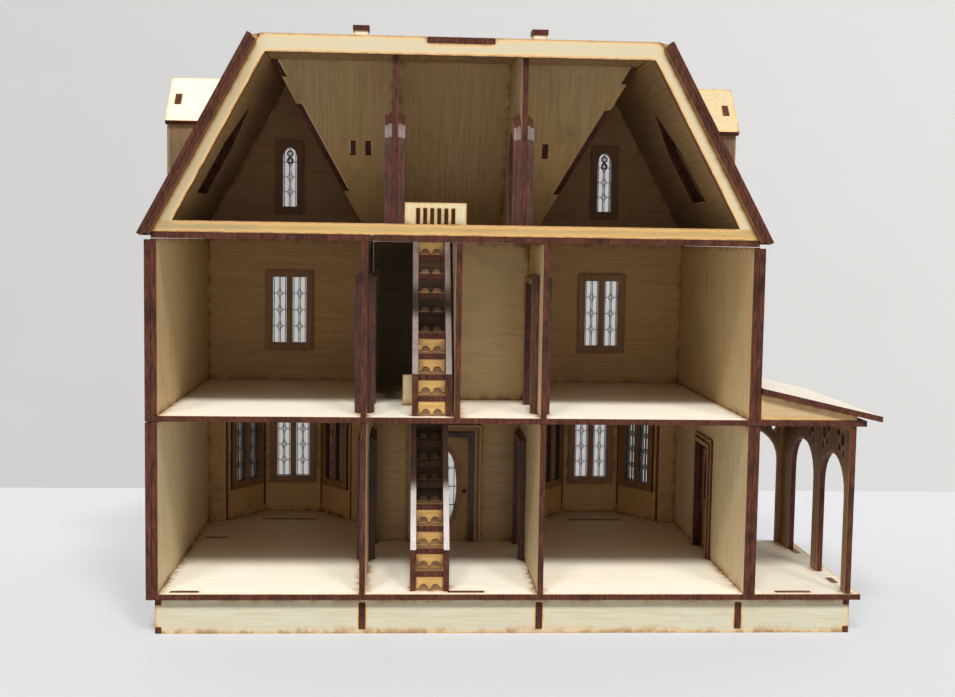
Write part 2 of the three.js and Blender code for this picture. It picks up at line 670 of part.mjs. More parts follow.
// Inner slope of each wing: stops on the underside plane of the front slope.
const belowMain = mainPlate(rect(-FAR, FAR, -FAR, FAR), -FAR, FAR);
function innerSlopePlate() {
  const [x0, z0] = roofPoint(0, stack);
  const plate = plateOn([x0, 0, z0], [0, 1, 0], [slopeCos, 0, slopeSin],
    rect(mainTopY, ROOF_Y[1], VALLEY_SETBACK, panelTop), [], -PLY);
  return plate.mirror([1, 0, 0]).translate([-2 * RIDGE_X, 0, 0]);
}
const innerSlope = innerSlopePlate().subtract(belowMain).subtract(mainWedge(FIT));
addPiece('roof_valley_left', innerSlope, FACE);
addPiece('roof_valley_right', mirrored(innerSlope), FACE);

// Back frame: a trapezoid band closing the open attic edge.
const frameEdge = (z, inset) => {
  const [x0, z0] = roofPoint(0, stack + FIT + inset);
  return x0 + (z - z0) / Math.tan(ROOF_PITCH);
};
const frameBase = ATTIC_TOP + FIT;
const innerTop = FRAME_TOP_Z - FRAME_TOP_BAND;
const innerSill = frameBase + FRAME_SILL;
const frameOutline = [
  [frameEdge(frameBase, 0), frameBase], [-frameEdge(frameBase, 0), frameBase],
  [-frameEdge(FRAME_TOP_Z, 0), FRAME_TOP_Z], [RIDGE_TAB[1] + FIT, FRAME_TOP_Z],
  [RIDGE_TAB[1] + FIT, FRAME_TOP_Z - PLY - FIT], [RIDGE_TAB[0] - FIT, FRAME_TOP_Z - PLY - FIT],
  [RIDGE_TAB[0] - FIT, FRAME_TOP_Z], [frameEdge(FRAME_TOP_Z, 0), FRAME_TOP_Z],
];
const frameHole = [
  [frameEdge(innerSill, FRAME_BAND), innerSill], [-frameEdge(innerSill, FRAME_BAND), innerSill],
  [-frameEdge(innerTop, FRAME_BAND), innerTop], [frameEdge(innerTop, FRAME_BAND), innerTop],
];
addPiece('roof_back_frame', facing(0, frameOutline, [frameHole]), FACE);

// Chimneys: a shaft standing on the slope, two feet through the slots, a narrower head.
CHIMNEY_X.forEach((x, i) => {
  const box = ({ halfX, halfY }, z0, z1) =>
    block([x - halfX, x + halfX], [CHIMNEY_Y - halfY, CHIMNEY_Y + halfY], [z0, z1]);
  const stackSolid = union([
    box(SHAFT, CHIMNEY_BOTTOM, SHAFT.top), box(NECK, SHAFT.top - BUTT, CHIMNEY_TOP - BUTT),
    box(CAP, CHIMNEY_TOP - CAP.height, CHIMNEY_TOP),
  ]);
  const roofBelow = mainPlate(rect(-FAR, FAR, -FAR, FAR), -FAR + PLY + FIT, FAR);
  const feet = chimneyFeet(x).map((cx) => mainPlate(
    rect(cx - PLY / 2, cx + PLY / 2, ...footSpan), 0, PLY + FIT + BUTT));
  addPiece(`chimney_${sides[i]}`, union([stackSolid.subtract(roofBelow), ...feet]), FACE);
});

// ---------- dormers ----------

// Everything under the outer face of the left roof.
function roofKeepOut() {
  const [x0, z0] = roofPoint(0, -FIT);
  return plateOn([x0, 0, z0], [0, 1, 0], [slopeCos, 0, slopeSin], rect(-FAR, FAR, -FAR, FAR), [], FAR);
}
const dormerRise = (DORMER_RIDGE_Z - DORMER_EAVE_Z) / DORMER_ROOF_HALF;
const dormerPitch = Math.atan(dormerRise);
const dormerCos = Math.cos(dormerPitch);
const dormerSin = Math.sin(dormerPitch);
const dormerUnderRidge = DORMER_RIDGE_Z - PLY / dormerCos - FIT;
const cheekTop = dormerUnderRidge - DORMER_HALF * dormerRise;
const nearCheekY = DORMER_Y - DORMER_HALF;
const farCheekY = DORMER_Y + DORMER_HALF;
const dormerFoot = EAVE[1];
const faceOutline = [
  [nearCheekY, dormerFoot], [farCheekY, dormerFoot], [farCheekY, cheekTop],
  [DORMER_Y, dormerUnderRidge], [nearCheekY, cheekTop],
];
const dormerLight = lancet(DORMER_Y, DORMER_LIGHT.width, DORMER_LIGHT.sill, DORMER_LIGHT.height);
const innerFaceX = DORMER_FACE_X + PLY;
const dormerFace = sideways(DORMER_FACE_X, faceOutline, [dormerLight], 2 * PLY);
function dormerSlope(outline, lift, thickness, holes = []) {
  const start = [0, DORMER_Y, DORMER_RIDGE_Z - PLY / dormerCos];
  const normal = [0, -dormerSin, dormerCos];
  const origin = start.map((value, i) => value + normal[i] * lift);
  return plateOn(origin, [1, 0, 0], [0, dormerCos, dormerSin], outline, holes, thickness);
}
const slopeLength = (DORMER_ROOF_HALF - PLY * dormerSin) / dormerCos;
const ridgeLap = PLY * Math.tan(dormerPitch);
const tabU = [innerFaceX, innerFaceX + PLY];
const tabV = DORMER_TAB.map((v) => v - slopeLength);
const nearSlope = dormerSlope(rect(DORMER_ROOF_X, DORMER_ROOF_END, -slopeLength, ridgeLap), 0, PLY,
  [slotAround(...tabU, ...tabV)]);
const farHalf = block([-FAR, FAR], [DORMER_Y, FAR], [0, FAR]);
const nearTrim = nearSlope.subtract(farHalf);
const flipFar = (solid) => solid.mirror([0, 1, 0]).translate([0, 2 * DORMER_Y, 0]);
const nearTab = dormerSlope(rect(...tabU, ...tabV), -DORMER_TAB_SINK, PLY + DORMER_TAB_SINK);
const cheek = facing(nearCheekY, rect(DORMER_FACE_X, DORMER_CHEEK_END, dormerFoot, cheekTop));
const walls = union([dormerFace, cheek, flipFar(cheek), nearTab, flipFar(nearTab)]);
const dormerWalls = walls.subtract(roofKeepOut());
const dormerRoof = nearTrim.add(flipFar(nearTrim)).subtract(roofKeepOut());
addPiece('dormer_walls_left', dormerWalls, WARM);
addPiece('dormer_walls_right', mirrored(dormerWalls), WARM);
addPiece('dormer_roof_left', dormerRoof, FACE);
addPiece('dormer_roof_right', mirrored(dormerRoof), FACE);

// ---------- bays ----------

const bayBase = GROUND_BASE;
const bayTop = SECOND_UNDER - FIT;
const mouthY = WING_Y + PLY + FIT;
const cheekRun = BAY_MOUTH - BAY_NOSE - BAY_EDGE;
const cheekDepth = BAY_NOSE_Y - mouthY;
const cheekReach = Math.hypot(cheekRun, cheekDepth);
const cheekDir = [cheekRun / cheekReach, cheekDepth / cheekReach, 0];
const cheekLength = cheekReach - BAY_CORNER_GAP;
const bayCheekOutline = [
  [0, bayBase], [cheekReach - FIT, bayBase], [cheekReach - FIT, bayBase + BAY_FOOT_H],
  [cheekLength, bayBase + BAY_FOOT_H], [cheekLength, bayTop], [0, bayTop],
];
sides.forEach((side, i) => {
  const cx = i === 0 ? -WING_X : WING_X;
  const nose = rect(cx - BAY_NOSE, cx + BAY_NOSE, bayBase, bayTop);
  addPiece(`bay_${side}_front`, facing(BAY_NOSE_Y, nose, twinPanes(cx, BAY_SILL)), FACE);
  const corner = [cx - BAY_MOUTH + BAY_EDGE, mouthY, 0];
  const panes = twinPanes(cheekLength / 2, BAY_SILL);
  const panel = plateOn(corner, cheekDir, [0, 0, 1], bayCheekOutline, panes, -PLY);
  const outward = panel.subtract(block([-FAR, FAR], [0, mouthY], [0, FAR]));
  const inward = outward.mirror([1, 0, 0]).translate([2 * cx, 0, 0]);
  addPiece(`bay_${side}_outer`, i === 0 ? outward : inward, FACE);
  addPiece(`bay_${side}_inner`, i === 0 ? inward : outward, FACE);
});

// ---------- porch ----------

const arcadeTop = SECOND_UNDER - FIT;
function arcade(u0, u1, posts) {
  const outline = [[u0, GROUND_BASE]];
  posts.slice(0, -1).forEach((post, i) => {
    const next = posts[i + 1];
    const arch = pointedArch(post[1], next[0], SPRING_Z, APEX_Z, ARCADE_SIDES).reverse();
    outline.push([post[1], GROUND_BASE], ...arch, [next[0], GROUND_BASE]);
  });
  outline.push([u1, GROUND_BASE], [u1, arcadeTop], [u0, arcadeTop]);
  return outline;
}

// Fretwork between the arches and the top rail, mirrored about each bay of the arcade.
function spandrelHoles(posts) {
  return posts.slice(0, -1).flatMap((post, i) =>
    [[post[1], 1], [posts[i + 1][0], -1]].flatMap(([edge, dir]) =>
      FRETWORK.map(([out, drop, ru, rv]) =>
        ellipse(edge + dir * out, arcadeTop - drop, ru, rv, FRET_SIDES))));
}
const sideOutline = arcade(...SIDE_ARCADE_Y, SIDE_POSTS);
addPiece('porch_arcade_side', sideways(ARCADE_X, sideOutline, spandrelHoles(SIDE_POSTS)), FACE);
const frontSpan = [BODY_HALF + FIT, ARCADE_X - FIT];
const frontPosts = [[frontSpan[0], frontSpan[0] + HALF_POST], [frontSpan[1] - PLY, frontSpan[1]]];
const arcadeFront = arcade(...frontSpan, frontPosts);
const porchFrontY = SIDE_ARCADE_Y[1] - PLY;
addPiece('porch_arcade_front', facing(porchFrontY, arcadeFront, spandrelHoles(frontPosts)), FACE);

// Lean-to roof with its end panels and eave batten.
const leanTan = (LEAN_HIGH - LEAN_LOW) / (LEAN_X[1] - LEAN_X[0]);
const leanPitch = Math.atan(leanTan);
const leanTop = (x) => LEAN_HIGH - (x - LEAN_X[0]) * leanTan;
const leanUnder = (x) => leanTop(x) - PLY / Math.cos(leanPitch);
const leanY = [ROOF_Y[0], PORCH_Y + LEAN_OVERHANG];
addPiece('porch_roof', facing(leanY[0], [
  [LEAN_X[0], leanUnder(LEAN_X[0])], [LEAN_X[1], leanUnder(LEAN_X[1])],
  [LEAN_X[1], leanTop(LEAN_X[1])], [LEAN_X[0], leanTop(LEAN_X[0])],
], [], leanY[1] - leanY[0]), FACE);
const leanFoot = SECOND_TOP + FIT;
const leanEndX = [LEAN_X[0], PORCH_X - LEAN_END_INSET];
const endPanel = (y) => facing(y, [
  [leanEndX[0], leanFoot], [leanEndX[1], leanFoot],
  [leanEndX[1], leanUnder(leanEndX[1]) - FIT], [leanEndX[0], leanUnder(leanEndX[0]) - FIT],
]);
const battenTop = leanUnder(BATTEN_X[1]) - 2 * FIT;
const batten = block(BATTEN_X, BATTEN_Y, [leanFoot, battenTop]);
addPiece('porch_roof_ends', union([endPanel(LEAN_END_Y), endPanel(porchFrontY), batten]), FACE);

// ---------- doors ----------

const leafTop = GROUND_BASE + DOOR_H;
const leafFoot = GROUND_BASE + FIT;
const leafHalf = DOOR_W / 2;
function knob(x, y) {
  const ball = new THREE.IcosahedronGeometry(KNOB_R, KNOB_DETAIL);
  ball.translate(x, y, KNOB_Z);
  return toSolid(ball);
}
const oval = ellipse(DOOR_X, OVAL_Z, OVAL_W / 2, OVAL_H / 2, OVAL_SIDES);
const frontLeaf = facing(HALL_Y, rect(DOOR_X - leafHalf, DOOR_X + leafHalf, leafFoot, leafTop), [oval]);
const knobX = DOOR_X + leafHalf - KNOB_INSET;
const frontKnobs = [HALL_Y - KNOB_PROUD, HALL_Y + PLY + KNOB_PROUD].map((y) => knob(knobX, y));
addPiece('door_front', union([frontLeaf, ...frontKnobs]), WARM);

const sideLight = lancet(SIDE_DOOR_Y, SIDE_LIGHT.width, SIDE_LIGHT.sill, SIDE_LIGHT.height);
const sideDoorLeaf = rect(SIDE_DOOR_Y - leafHalf, SIDE_DOOR_Y + leafHalf, leafFoot, leafTop);
const sideLeaf = sideways(SIDING_INNER, sideDoorLeaf, [sideLight]);
const knobY = SIDE_DOOR_Y - leafHalf + KNOB_INSET;
const sideKnobs = [SIDING_INNER - KNOB_PROUD, BODY_HALF + KNOB_PROUD].map((x) => knob(x, knobY));
addPiece('door_porch', union([sideLeaf, ...sideKnobs]), WARM);

// Origin at the bottom centre of the whole house.
group.position.set(-(EAVE[0] + LEAN_X[1]) / 2, -(ROOF_Y[0] + BAY_SLAB_Y) / 2, 0);

export default group;
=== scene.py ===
"""Looks for an open-backed laser-cut plywood dollhouse.

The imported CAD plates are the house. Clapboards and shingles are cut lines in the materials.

Lengths are millimetres in the house's own plan, in the materials too: x = 0 in the middle of
the house, y = 0 at the open back, z = 0 on the table.
"""
import json
import math

import bmesh
import bpy
from mathutils import Matrix, Vector
from mathutils.geometry import tessellate_polygon


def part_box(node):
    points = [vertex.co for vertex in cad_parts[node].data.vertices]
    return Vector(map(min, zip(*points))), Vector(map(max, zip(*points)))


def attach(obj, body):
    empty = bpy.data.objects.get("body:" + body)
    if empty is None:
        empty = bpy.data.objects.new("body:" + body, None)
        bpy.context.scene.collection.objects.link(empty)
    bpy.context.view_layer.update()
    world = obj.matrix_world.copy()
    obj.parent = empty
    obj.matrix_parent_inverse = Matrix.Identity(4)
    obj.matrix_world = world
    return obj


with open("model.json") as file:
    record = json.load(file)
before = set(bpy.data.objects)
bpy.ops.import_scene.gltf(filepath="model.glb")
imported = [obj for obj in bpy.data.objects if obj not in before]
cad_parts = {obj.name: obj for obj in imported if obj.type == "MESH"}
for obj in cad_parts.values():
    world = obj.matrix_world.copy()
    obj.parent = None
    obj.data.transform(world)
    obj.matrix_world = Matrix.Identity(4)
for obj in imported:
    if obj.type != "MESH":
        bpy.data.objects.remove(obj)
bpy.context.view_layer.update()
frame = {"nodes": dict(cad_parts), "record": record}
nodes = frame["nodes"]

MM = 0.001
OVERLAY = 1.6          # thickness of the thin trim stock
FACE_GAP = 0.05        # glue line between an overlay and the plate under it
BODY_HALF = 181.5      # half the ground floor's length, without the porch
UP = Vector((0, 0, 1))

floor_low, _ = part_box("floor_ground")
ZERO = Vector((floor_low.x + BODY_HALF * MM, floor_low.y, 0))


def at(x, y, z):
    """A point of the house's plan, in the frame's metres."""
    return ZERO + Vector((x, y, z)) * MM


def in_frame(axis, length):
    """A place along one axis of the house's plan, in the frame's metres."""
    return ZERO["XYZ".index(axis)] + length * MM


def plan_box(node):
    """A node's box in the house's plan, as two lists of millimetres."""
    low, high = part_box(node)
    return [list((corner - ZERO) / MM) for corner in (low, high)]


# ---------- camera ----------

CAMERA_AT = (-33.3, -758.9, 234.7)
CAMERA_YAW = math.radians(3.38)
CAMERA_PITCH = math.radians(-4.71)
CAMERA_ROLL = math.radians(-0.89)
CAMERA_LENS = 49.0
SENSOR_WIDTH = 36
CLIP_NEAR = 0.01          # metres
CLIP_FAR = 200            # metres


def make_camera():
    """Looks into the open back from about the height of the attic floor."""
    data = bpy.data.cameras.new("camera")
    data.lens = CAMERA_LENS
    data.sensor_width = SENSOR_WIDTH
    data.clip_start = CLIP_NEAR
    data.clip_end = CLIP_FAR
    camera = bpy.data.objects.new("camera", data)
    bpy.context.scene.collection.objects.link(camera)
    turn = Matrix.Rotation(-CAMERA_YAW, 4, "Z") @ Matrix.Rotation(math.pi / 2 + CAMERA_PITCH, 4, "X")
    camera.matrix_world = Matrix.Translation(at(*CAMERA_AT)) @ turn @ Matrix.Rotation(-CAMERA_ROLL, 4, "Z")
    bpy.context.scene.camera = camera


make_camera()

# ---------- material helper ----------

CUT_SHARE = 0.09          # width of a board's or course's cut line, as a share of its pitch
JOINT_SHARE = 0.07        # the same for the joints between shingles
SHINGLE_ASPECT = 1.3      # a shingle's width over its course's height


class Shader:
    """A small helper that adds nodes to one material and links them."""

    def __init__(self, name):
        self.material = bpy.data.materials.new(name)
        self.material.use_nodes = True
        self.tree = self.material.node_tree
        self.surface = self.tree.nodes["Principled BSDF"]
        self.place = self.add("ShaderNodeTexCoord").outputs["Object"]

    def add(self, kind, **settings):
        node = self.tree.nodes.new(kind)
        for key, value in settings.items():
            setattr(node, key, value)
        return node

    def link(self, source, target):
        self.tree.links.new(source, target)

    def noise(self, cells, detail=4.0, roughness=0.55):
        """Noise with so many cells per metre: one number for all axes, or one for each."""
        mapping = self.add("ShaderNodeMapping")
        mapping.inputs["Scale"].default_value = cells if isinstance(cells, tuple) else (cells,) * 3
        self.link(self.place, mapping.inputs["Vector"])
        noise = self.add("ShaderNodeTexNoise")
        noise.inputs["Scale"].default_value = 1
        noise.inputs["Detail"].default_value = detail
        noise.inputs["Roughness"].default_value = roughness
        self.link(mapping.outputs["Vector"], noise.inputs["Vector"])
        return noise.outputs["Fac"]

    def remap(self, value, span, target=(0.0, 1.0)):
        """Runs smoothly from the target's first number to its second as value crosses the span."""
        node = self.add("ShaderNodeMapRange", interpolation_type="SMOOTHSTEP")
        self.link(value, node.inputs["Value"])
        limits = ("From Min", "From Max", "To Min", "To Max")
        for key, number in zip(limits, (*span, *target)):
            node.inputs[key].default_value = number
        return node.outputs["Result"]

    def math(self, operation, *values):
        node = self.add("ShaderNodeMath", operation=operation)
        for socket, value in zip(node.inputs, values):
            if isinstance(value, (int, float)):
                socket.default_value = value
            else:
                self.link(value, socket)
        return node.outputs[0]

    def mix(self, amount, a, b):
        node = self.add("ShaderNodeMix", data_type="RGBA")
        self.link(amount, node.inputs["Factor"])
        sockets = [s for s in node.inputs if s.type == "RGBA"]
        for socket, value in zip(sockets, (a, b)):
            if isinstance(value, tuple):
                socket.default_value = (*value, 1)
            else:
                self.link(value, socket)
        return next(s for s in node.outputs if s.type == "RGBA")

    def layer(self, colour, over, value, span, amount=1.0):
        """Lays the second colour over the first, up to the amount, as value crosses the span."""
        return self.mix(self.remap(value, span, (0.0, amount)), colour, over)

    def rim(self, radius):
        """0 on open faces, rising towards the plate's cut edges within the radius."""
        bevel = self.add("ShaderNodeBevel", samples=8)
        bevel.inputs["Radius"].default_value = radius * MM
        normal = self.add("ShaderNodeNewGeometry").outputs["True Normal"]
        dot = self.add("ShaderNodeVectorMath", operation="DOT_PRODUCT")
        self.link(bevel.outputs["Normal"], dot.inputs[0])
        self.link(normal, dot.inputs[1])
        return self.math("SUBTRACT", 1.0, dot.outputs["Value"])

    def enclosed(self, reach):
        """0 in the open, rising towards inside corners within the reach."""
        corner = self.add("ShaderNodeAmbientOcclusion", samples=6)
        corner.inputs["Distance"].default_value = reach * MM
        return self.math("SUBTRACT", 1.0, corner.outputs["AO"])

    def axis(self, letter):
        split = self.add("ShaderNodeSeparateXYZ")
        self.link(self.place, split.inputs["Vector"])
        return split.outputs[letter]

    def groove(self, share, width):
        """1 on a thin line where a 0 to 1 share wraps round, falling to 0 within the width."""
        away = self.math("ABSOLUTE", self.math("SUBTRACT", share, 0.5))
        return self.remap(away, (0.5 - width, 0.5))

    def clapboard(self, pitch):
        """Horizontal lapped boards: 1 in the cut line at the foot of each board."""
        rows = self.math("DIVIDE", self.axis("Z"), pitch * MM)
        return self.groove(self.math("FRACT", rows), CUT_SHARE)

    def shingle(self, pitch):
        """Staggered courses: 1 in the cut lines round every shingle."""
        width = SHINGLE_ASPECT * pitch * MM
        rows = self.math("DIVIDE", self.axis("Z"), pitch * MM)
        shift = self.math("MULTIPLY", self.math("FLOOR", rows), width / 2)
        along = self.math("ADD", self.math("ADD", self.axis("X"), self.axis("Y")), shift)
        courses = self.groove(self.math("FRACT", rows), CUT_SHARE)
        joints = self.groove(self.math("FRACT", self.math("DIVIDE", along, width)), JOINT_SHARE)
        return self.math("MAXIMUM", courses, joints)

    def bump(self, height, depth, strength):
        node = self.add("ShaderNodeBump")
        node.inputs["Distance"].default_value = depth * MM
        node.inputs["Strength"].default_value = strength
        self.link(height, node.inputs["Height"])
        self.link(node.outputs["Normal"], self.surface.inputs["Normal"])

    def finish(self, colour, roughness):
        """Plugs in the colour and the roughness, which may be one number."""
        self.link(colour, self.surface.inputs["Base Color"])
        if isinstance(roughness, float):
            self.surface.inputs["Roughness"].default_value = roughness
        else:
            self.link(roughness, self.surface.inputs["Roughness"])
        return self.material


# ---------- wood ----------

HONEY = (0.74, 0.42, 0.13)        # light scorch
TOAST = (0.17, 0.07, 0.03)        # deep scorch
# near black, laid on as painted shade in the upper hall and on the landing
SHADE_BLACK = (0.03, 0.02, 0.015)

# Noise cells per metre, along the grain and across it.
FIBRES = (26.0, 620.0)
PORES = (180, 2600)
CLOUDS = (9, 34)
BLOTCHES = (45, 90)

# The stretch of a noise or mask over which its layer fades in, and how strong the layer gets.
FIBRE_SPAN = (0.36, 0.68)
CLOUD_SPAN = (0.42, 0.8)
BLOTCH_SPAN = (0.5, 0.75)
BLOTCH_STRENGTH = 0.6             # of the clouds' own strength
PORE_SPAN = (0.56, 0.72)
PORE_STRENGTH = 0.22
RIM_HONEY_SPAN = (0.012, 0.2)
RIM_CHAR_SPAN = (0.17, 0.31)
RIM_STRENGTH = 0.85
JOINT_HONEY_SPAN = (0.08, 0.45)
JOINT_HONEY_STRENGTH = 0.75
JOINT_CHAR_SPAN = (0.26, 0.66)
JOINT_CHAR_STRENGTH = 0.85
GROOVE_SPAN = (0.72, 1.0)
GROOVE_STRENGTH = 0.85

# How unevenly the scorch runs along rims and joints: noise cells, stretch and factors.
RIM_WAVER = (140, (0.3, 0.7), (0.7, 1.25))
JOINT_SPOTS = (130, (0.34, 0.68), (0.45, 1.45))
JOINT_REACH = 7

FIBRE_RELIEF = (0.12, 0.35)       # bump depth and strength
GROOVE_RELIEF = (0.6, 0.7)
GROOVE_FADE = 0.4                 # the cut lines start over this length
WOOD_SHEEN = ((0.3, 0.7), (0.52, 0.66))      # stretch of the fibres' noise, and the roughness it gives


def shaded(colour, share):
    return tuple(share * c for c in colour)


def along_grain(axes, cells):
    """Noise cells on X, Y and Z for a grain that runs along the named axes."""
    along, across = cells
    return tuple(along if axis in axes else across for axis in "XYZ")


def bare_face(sh, fibres, pale, dark, grain, cloud):
    """Fibres, broad clouds, darker blotches and fine pores."""
    pores = sh.noise(along_grain(grain, PORES), 3, 0.6)
    clouds = sh.noise(along_grain(grain, CLOUDS), 3, 0.5)
    blotches = sh.noise(along_grain(grain, BLOTCHES), 4, 0.6)
    warm = tuple(0.55 * a + 0.45 * b for a, b in zip(dark, HONEY))
    colour = sh.layer(pale, dark, fibres, FIBRE_SPAN)
    colour = sh.layer(colour, warm, clouds, CLOUD_SPAN, cloud)
    colour = sh.layer(colour, shaded(dark, 0.62), blotches, BLOTCH_SPAN, BLOTCH_STRENGTH * cloud)
    return sh.layer(colour, TOAST, pores, PORE_SPAN, PORE_STRENGTH)


def scorched_rim(sh, colour, radius, char, scorch):
    """Honey and then brown towards the plate's cut edges."""
    cells, span, factors = RIM_WAVER
    edge = sh.math("MULTIPLY", sh.rim(radius), sh.remap(sh.noise(cells, 3), span, factors))
    colour = sh.layer(colour, HONEY, edge, RIM_HONEY_SPAN, RIM_STRENGTH * scorch)
    return sh.layer(colour, TOAST, edge, char, RIM_STRENGTH * scorch)


def scorched_joints(sh, colour, joint):
    """Spotty burns where plates meet."""
    cells, span, factors = JOINT_SPOTS
    spots = sh.remap(sh.noise(cells, 3, 0.6), span, factors)
    closed = sh.math("MULTIPLY", sh.enclosed(JOINT_REACH), spots)
    honey, char = shaded(HONEY, 0.72), shaded(TOAST, 0.7)
    colour = sh.layer(colour, honey, closed, JOINT_HONEY_SPAN, JOINT_HONEY_STRENGTH * joint)
    return sh.layer(colour, char, closed, JOINT_CHAR_SPAN, JOINT_CHAR_STRENGTH * joint)


def wood(name, pale, dark, grain="X", scorch=1.0, rim=3.4, char=RIM_CHAR_SPAN, joint=0.95, cloud=0.5,
         tones=(), relief=None, gloss=0.5):
    """Bare ply face: fine grain, broad mottling, a scorched rim and scorched joints.

    Each tone (axis, from, to, amount, colour) lays a colour on along an axis; relief = (cut
    lines, pitch, y) adds clapboards or shingles where the plate lies beyond that y.
    """
    sh = Shader(name)
    fibres = sh.noise(along_grain(grain, FIBRES), 5, 0.6)
    colour = bare_face(sh, fibres, pale, dark, grain, cloud)
    for axis, start, end, amount, over in tones:
        span = (in_frame(axis, start), in_frame(axis, end))
        colour = sh.layer(colour, over, sh.axis(axis), span, amount)
    colour = scorched_rim(sh, colour, rim, char, scorch)
    colour = scorched_joints(sh, colour, joint)
    if relief:
        cut_lines, pitch, from_y = relief
        beyond = (in_frame("Y", from_y), in_frame("Y", from_y + GROOVE_FADE))
        groove = sh.math("MULTIPLY", cut_lines(sh, pitch), sh.remap(sh.axis("Y"), beyond))
        colour = sh.layer(colour, TOAST, groove, GROOVE_SPAN, GROOVE_STRENGTH)
        sh.bump(sh.math("MULTIPLY", groove, -1.0), *GROOVE_RELIEF)
    else:
        sh.bump(fibres, *FIBRE_RELIEF)
    sh.surface.inputs["Specular IOR Level"].default_value = gloss
    return sh.finish(colour, sh.remap(fibres, *WOOD_SHEEN))


# ---------- burnt edges, glazing, ink and paint ----------


def burnt(name, light, dark, roughness, gloss):
    """Laser-cut edge: reddish brown char with fine striations, glossy where it is hard."""
    sh = Shader(name)
    stripes = sh.noise((900, 900, 130), 3, 0.6)
    cloud = sh.noise(60, 4, 0.6)
    colour = sh.layer(light, dark, stripes, (0.35, 0.65))
    colour = sh.layer(colour, shaded(dark, 0.4), cloud, (0.45, 0.75), 0.7)
    sh.surface.inputs["Specular IOR Level"].default_value = gloss
    sh.bump(stripes, 0.08, 0.4)
    return sh.finish(colour, sh.remap(cloud, (0.3, 0.7), roughness))


def acetate(name):
    """Clear glazing sheet with a faint haze that gathers towards its scratches."""
    sh = Shader(name)
    haze = sh.noise((60, 60, 240), 4, 0.6)
    colour = sh.layer((0.93, 0.95, 0.97), (0.84, 0.88, 0.92), haze, (0.4, 0.7))
    sh.surface.inputs["Alpha"].default_value = 0.2
    return sh.finish(colour, sh.remap(haze, (0.35, 0.75), (0.04, 0.16)))


def ink(name):
    """Printed leading, slightly uneven grey."""
    sh = Shader(name)
    return sh.finish(sh.mix(sh.noise(500, 3), (0.05, 0.06, 0.055), (0.13, 0.15, 0.14)), 0.6)


def tabletop(name, tone):
    """Matt tabletop with a very faint mottle."""
    sh = Shader(name)
    return sh.finish(sh.mix(sh.noise(6, 3), tone, shaded(tone, 0.985)), 0.9)


def painted_wall(name, left, right, mottle):
    """Matt wall, a little lighter towards one side, as painted light."""
    sh = Shader(name)
    colour = sh.layer(left, right, sh.axis("X"), (-1.0, 1.2))
    return sh.finish(sh.layer(colour, mottle, sh.noise(2.5, 4), (0.4, 0.7), 0.25), 0.9)


# ---------- the materials ----------

CLAPBOARD_PITCH = 6.2
SHINGLE_PITCH = 8.5
RECESS_Y = 144.4            # outer face of the recessed hall front
EVERYWHERE = -1000          # a y well behind the house
RECESS_BOARDS = (Shader.clapboard, CLAPBOARD_PITCH, RECESS_Y)
PARTITION_TONES = ((0.60, 0.465, 0.27), (0.53, 0.39, 0.21))

EDGE = burnt("edge_char", (0.105, 0.034, 0.019), (0.045, 0.015, 0.009), (0.3, 0.5), 0.15)
EDGE_HARD = burnt("edge_char_polished", (0.115, 0.045, 0.03), (0.05, 0.02, 0.013), (0.27, 0.38), 1.0)
EDGE_DEEP = burnt("edge_char_inside", (0.095, 0.032, 0.018), (0.04, 0.014, 0.009), (0.3, 0.46), 0.4)
FLOOR = wood(
    "ply_floor", (0.78, 0.75, 0.66), (0.74, 0.68, 0.56), rim=5.5, cloud=0.12,
    tones=(
        # painted shade: the floors turn brown from 60.5 to 134.5 mm in from the open back
        ("Y", 60.5, 134.5, 0.75, (0.60, 0.43, 0.235)),
        # painted shade of the porch roof: the porch floor is darker beyond x 184.85 mm
        ("X", 184.85, 186.85, 0.4, (0.36, 0.31, 0.24)),
    ),
)
PLINTH = wood("ply_plinth", (0.50, 0.48, 0.365), (0.46, 0.42, 0.29), rim=4.5, cloud=0.25)
WALL_UP = wood("ply_wall", (0.63, 0.475, 0.265), (0.56, 0.405, 0.20), "Z")
WALL_LOW = wood("ply_wall_low", (0.71, 0.58, 0.365), (0.64, 0.505, 0.29), "Z")
BAY = wood("ply_bay", (0.68, 0.42, 0.19), (0.60, 0.345, 0.135))
PARTY = wood("ply_partition", *PARTITION_TONES, "Y")
FACADE = wood("ply_facade", (0.53, 0.325, 0.145), (0.465, 0.265, 0.105))
HALL = wood(
    "ply_hall", (0.46, 0.315, 0.155), (0.40, 0.255, 0.115),
    # painted shade: the upper storey of the hall front is much darker, as in the unlit stair hall
    tones=(("Z", 127.5, 134.5, 0.72, SHADE_BLACK),),
)
PASSAGE = wood("ply_passage", *PARTITION_TONES, "Y", relief=RECESS_BOARDS)
LANDING = wood(
    "ply_landing", *PARTITION_TONES, "Y",
    # painted shade: near black where the face lies inside the hall, short of y 141 mm
    tones=(("Y", 141.3, 140.7, 0.9, SHADE_BLACK),), relief=RECESS_BOARDS,
)
ROOF = wood("ply_roof", (0.36, 0.24, 0.12), (0.30, 0.19, 0.085), "Y")
MIDDLE = wood("ply_middle", (0.485, 0.35, 0.175), (0.40, 0.275, 0.122), "YZ", cloud=0.7)
GABLE_END = wood("ply_gable_end", (0.44, 0.315, 0.16), (0.37, 0.25, 0.115), scorch=1.1, rim=5)
BATH = wood("ply_bath", (0.61, 0.455, 0.25), (0.555, 0.40, 0.205), cloud=0.6)
PORCH_TOP = wood("ply_porch_top", (0.60, 0.555, 0.485), (0.54, 0.485, 0.405), "Y", cloud=0.2)
PALE_WARM = wood(
    "ply_pale_warm", (0.50, 0.41, 0.24), (0.44, 0.34, 0.17), "Y", scorch=1.1, rim=5, cloud=0.3,
)
PALE = wood("ply_pale", (0.78, 0.70, 0.52), (0.72, 0.62, 0.42), "Y", cloud=0.2)
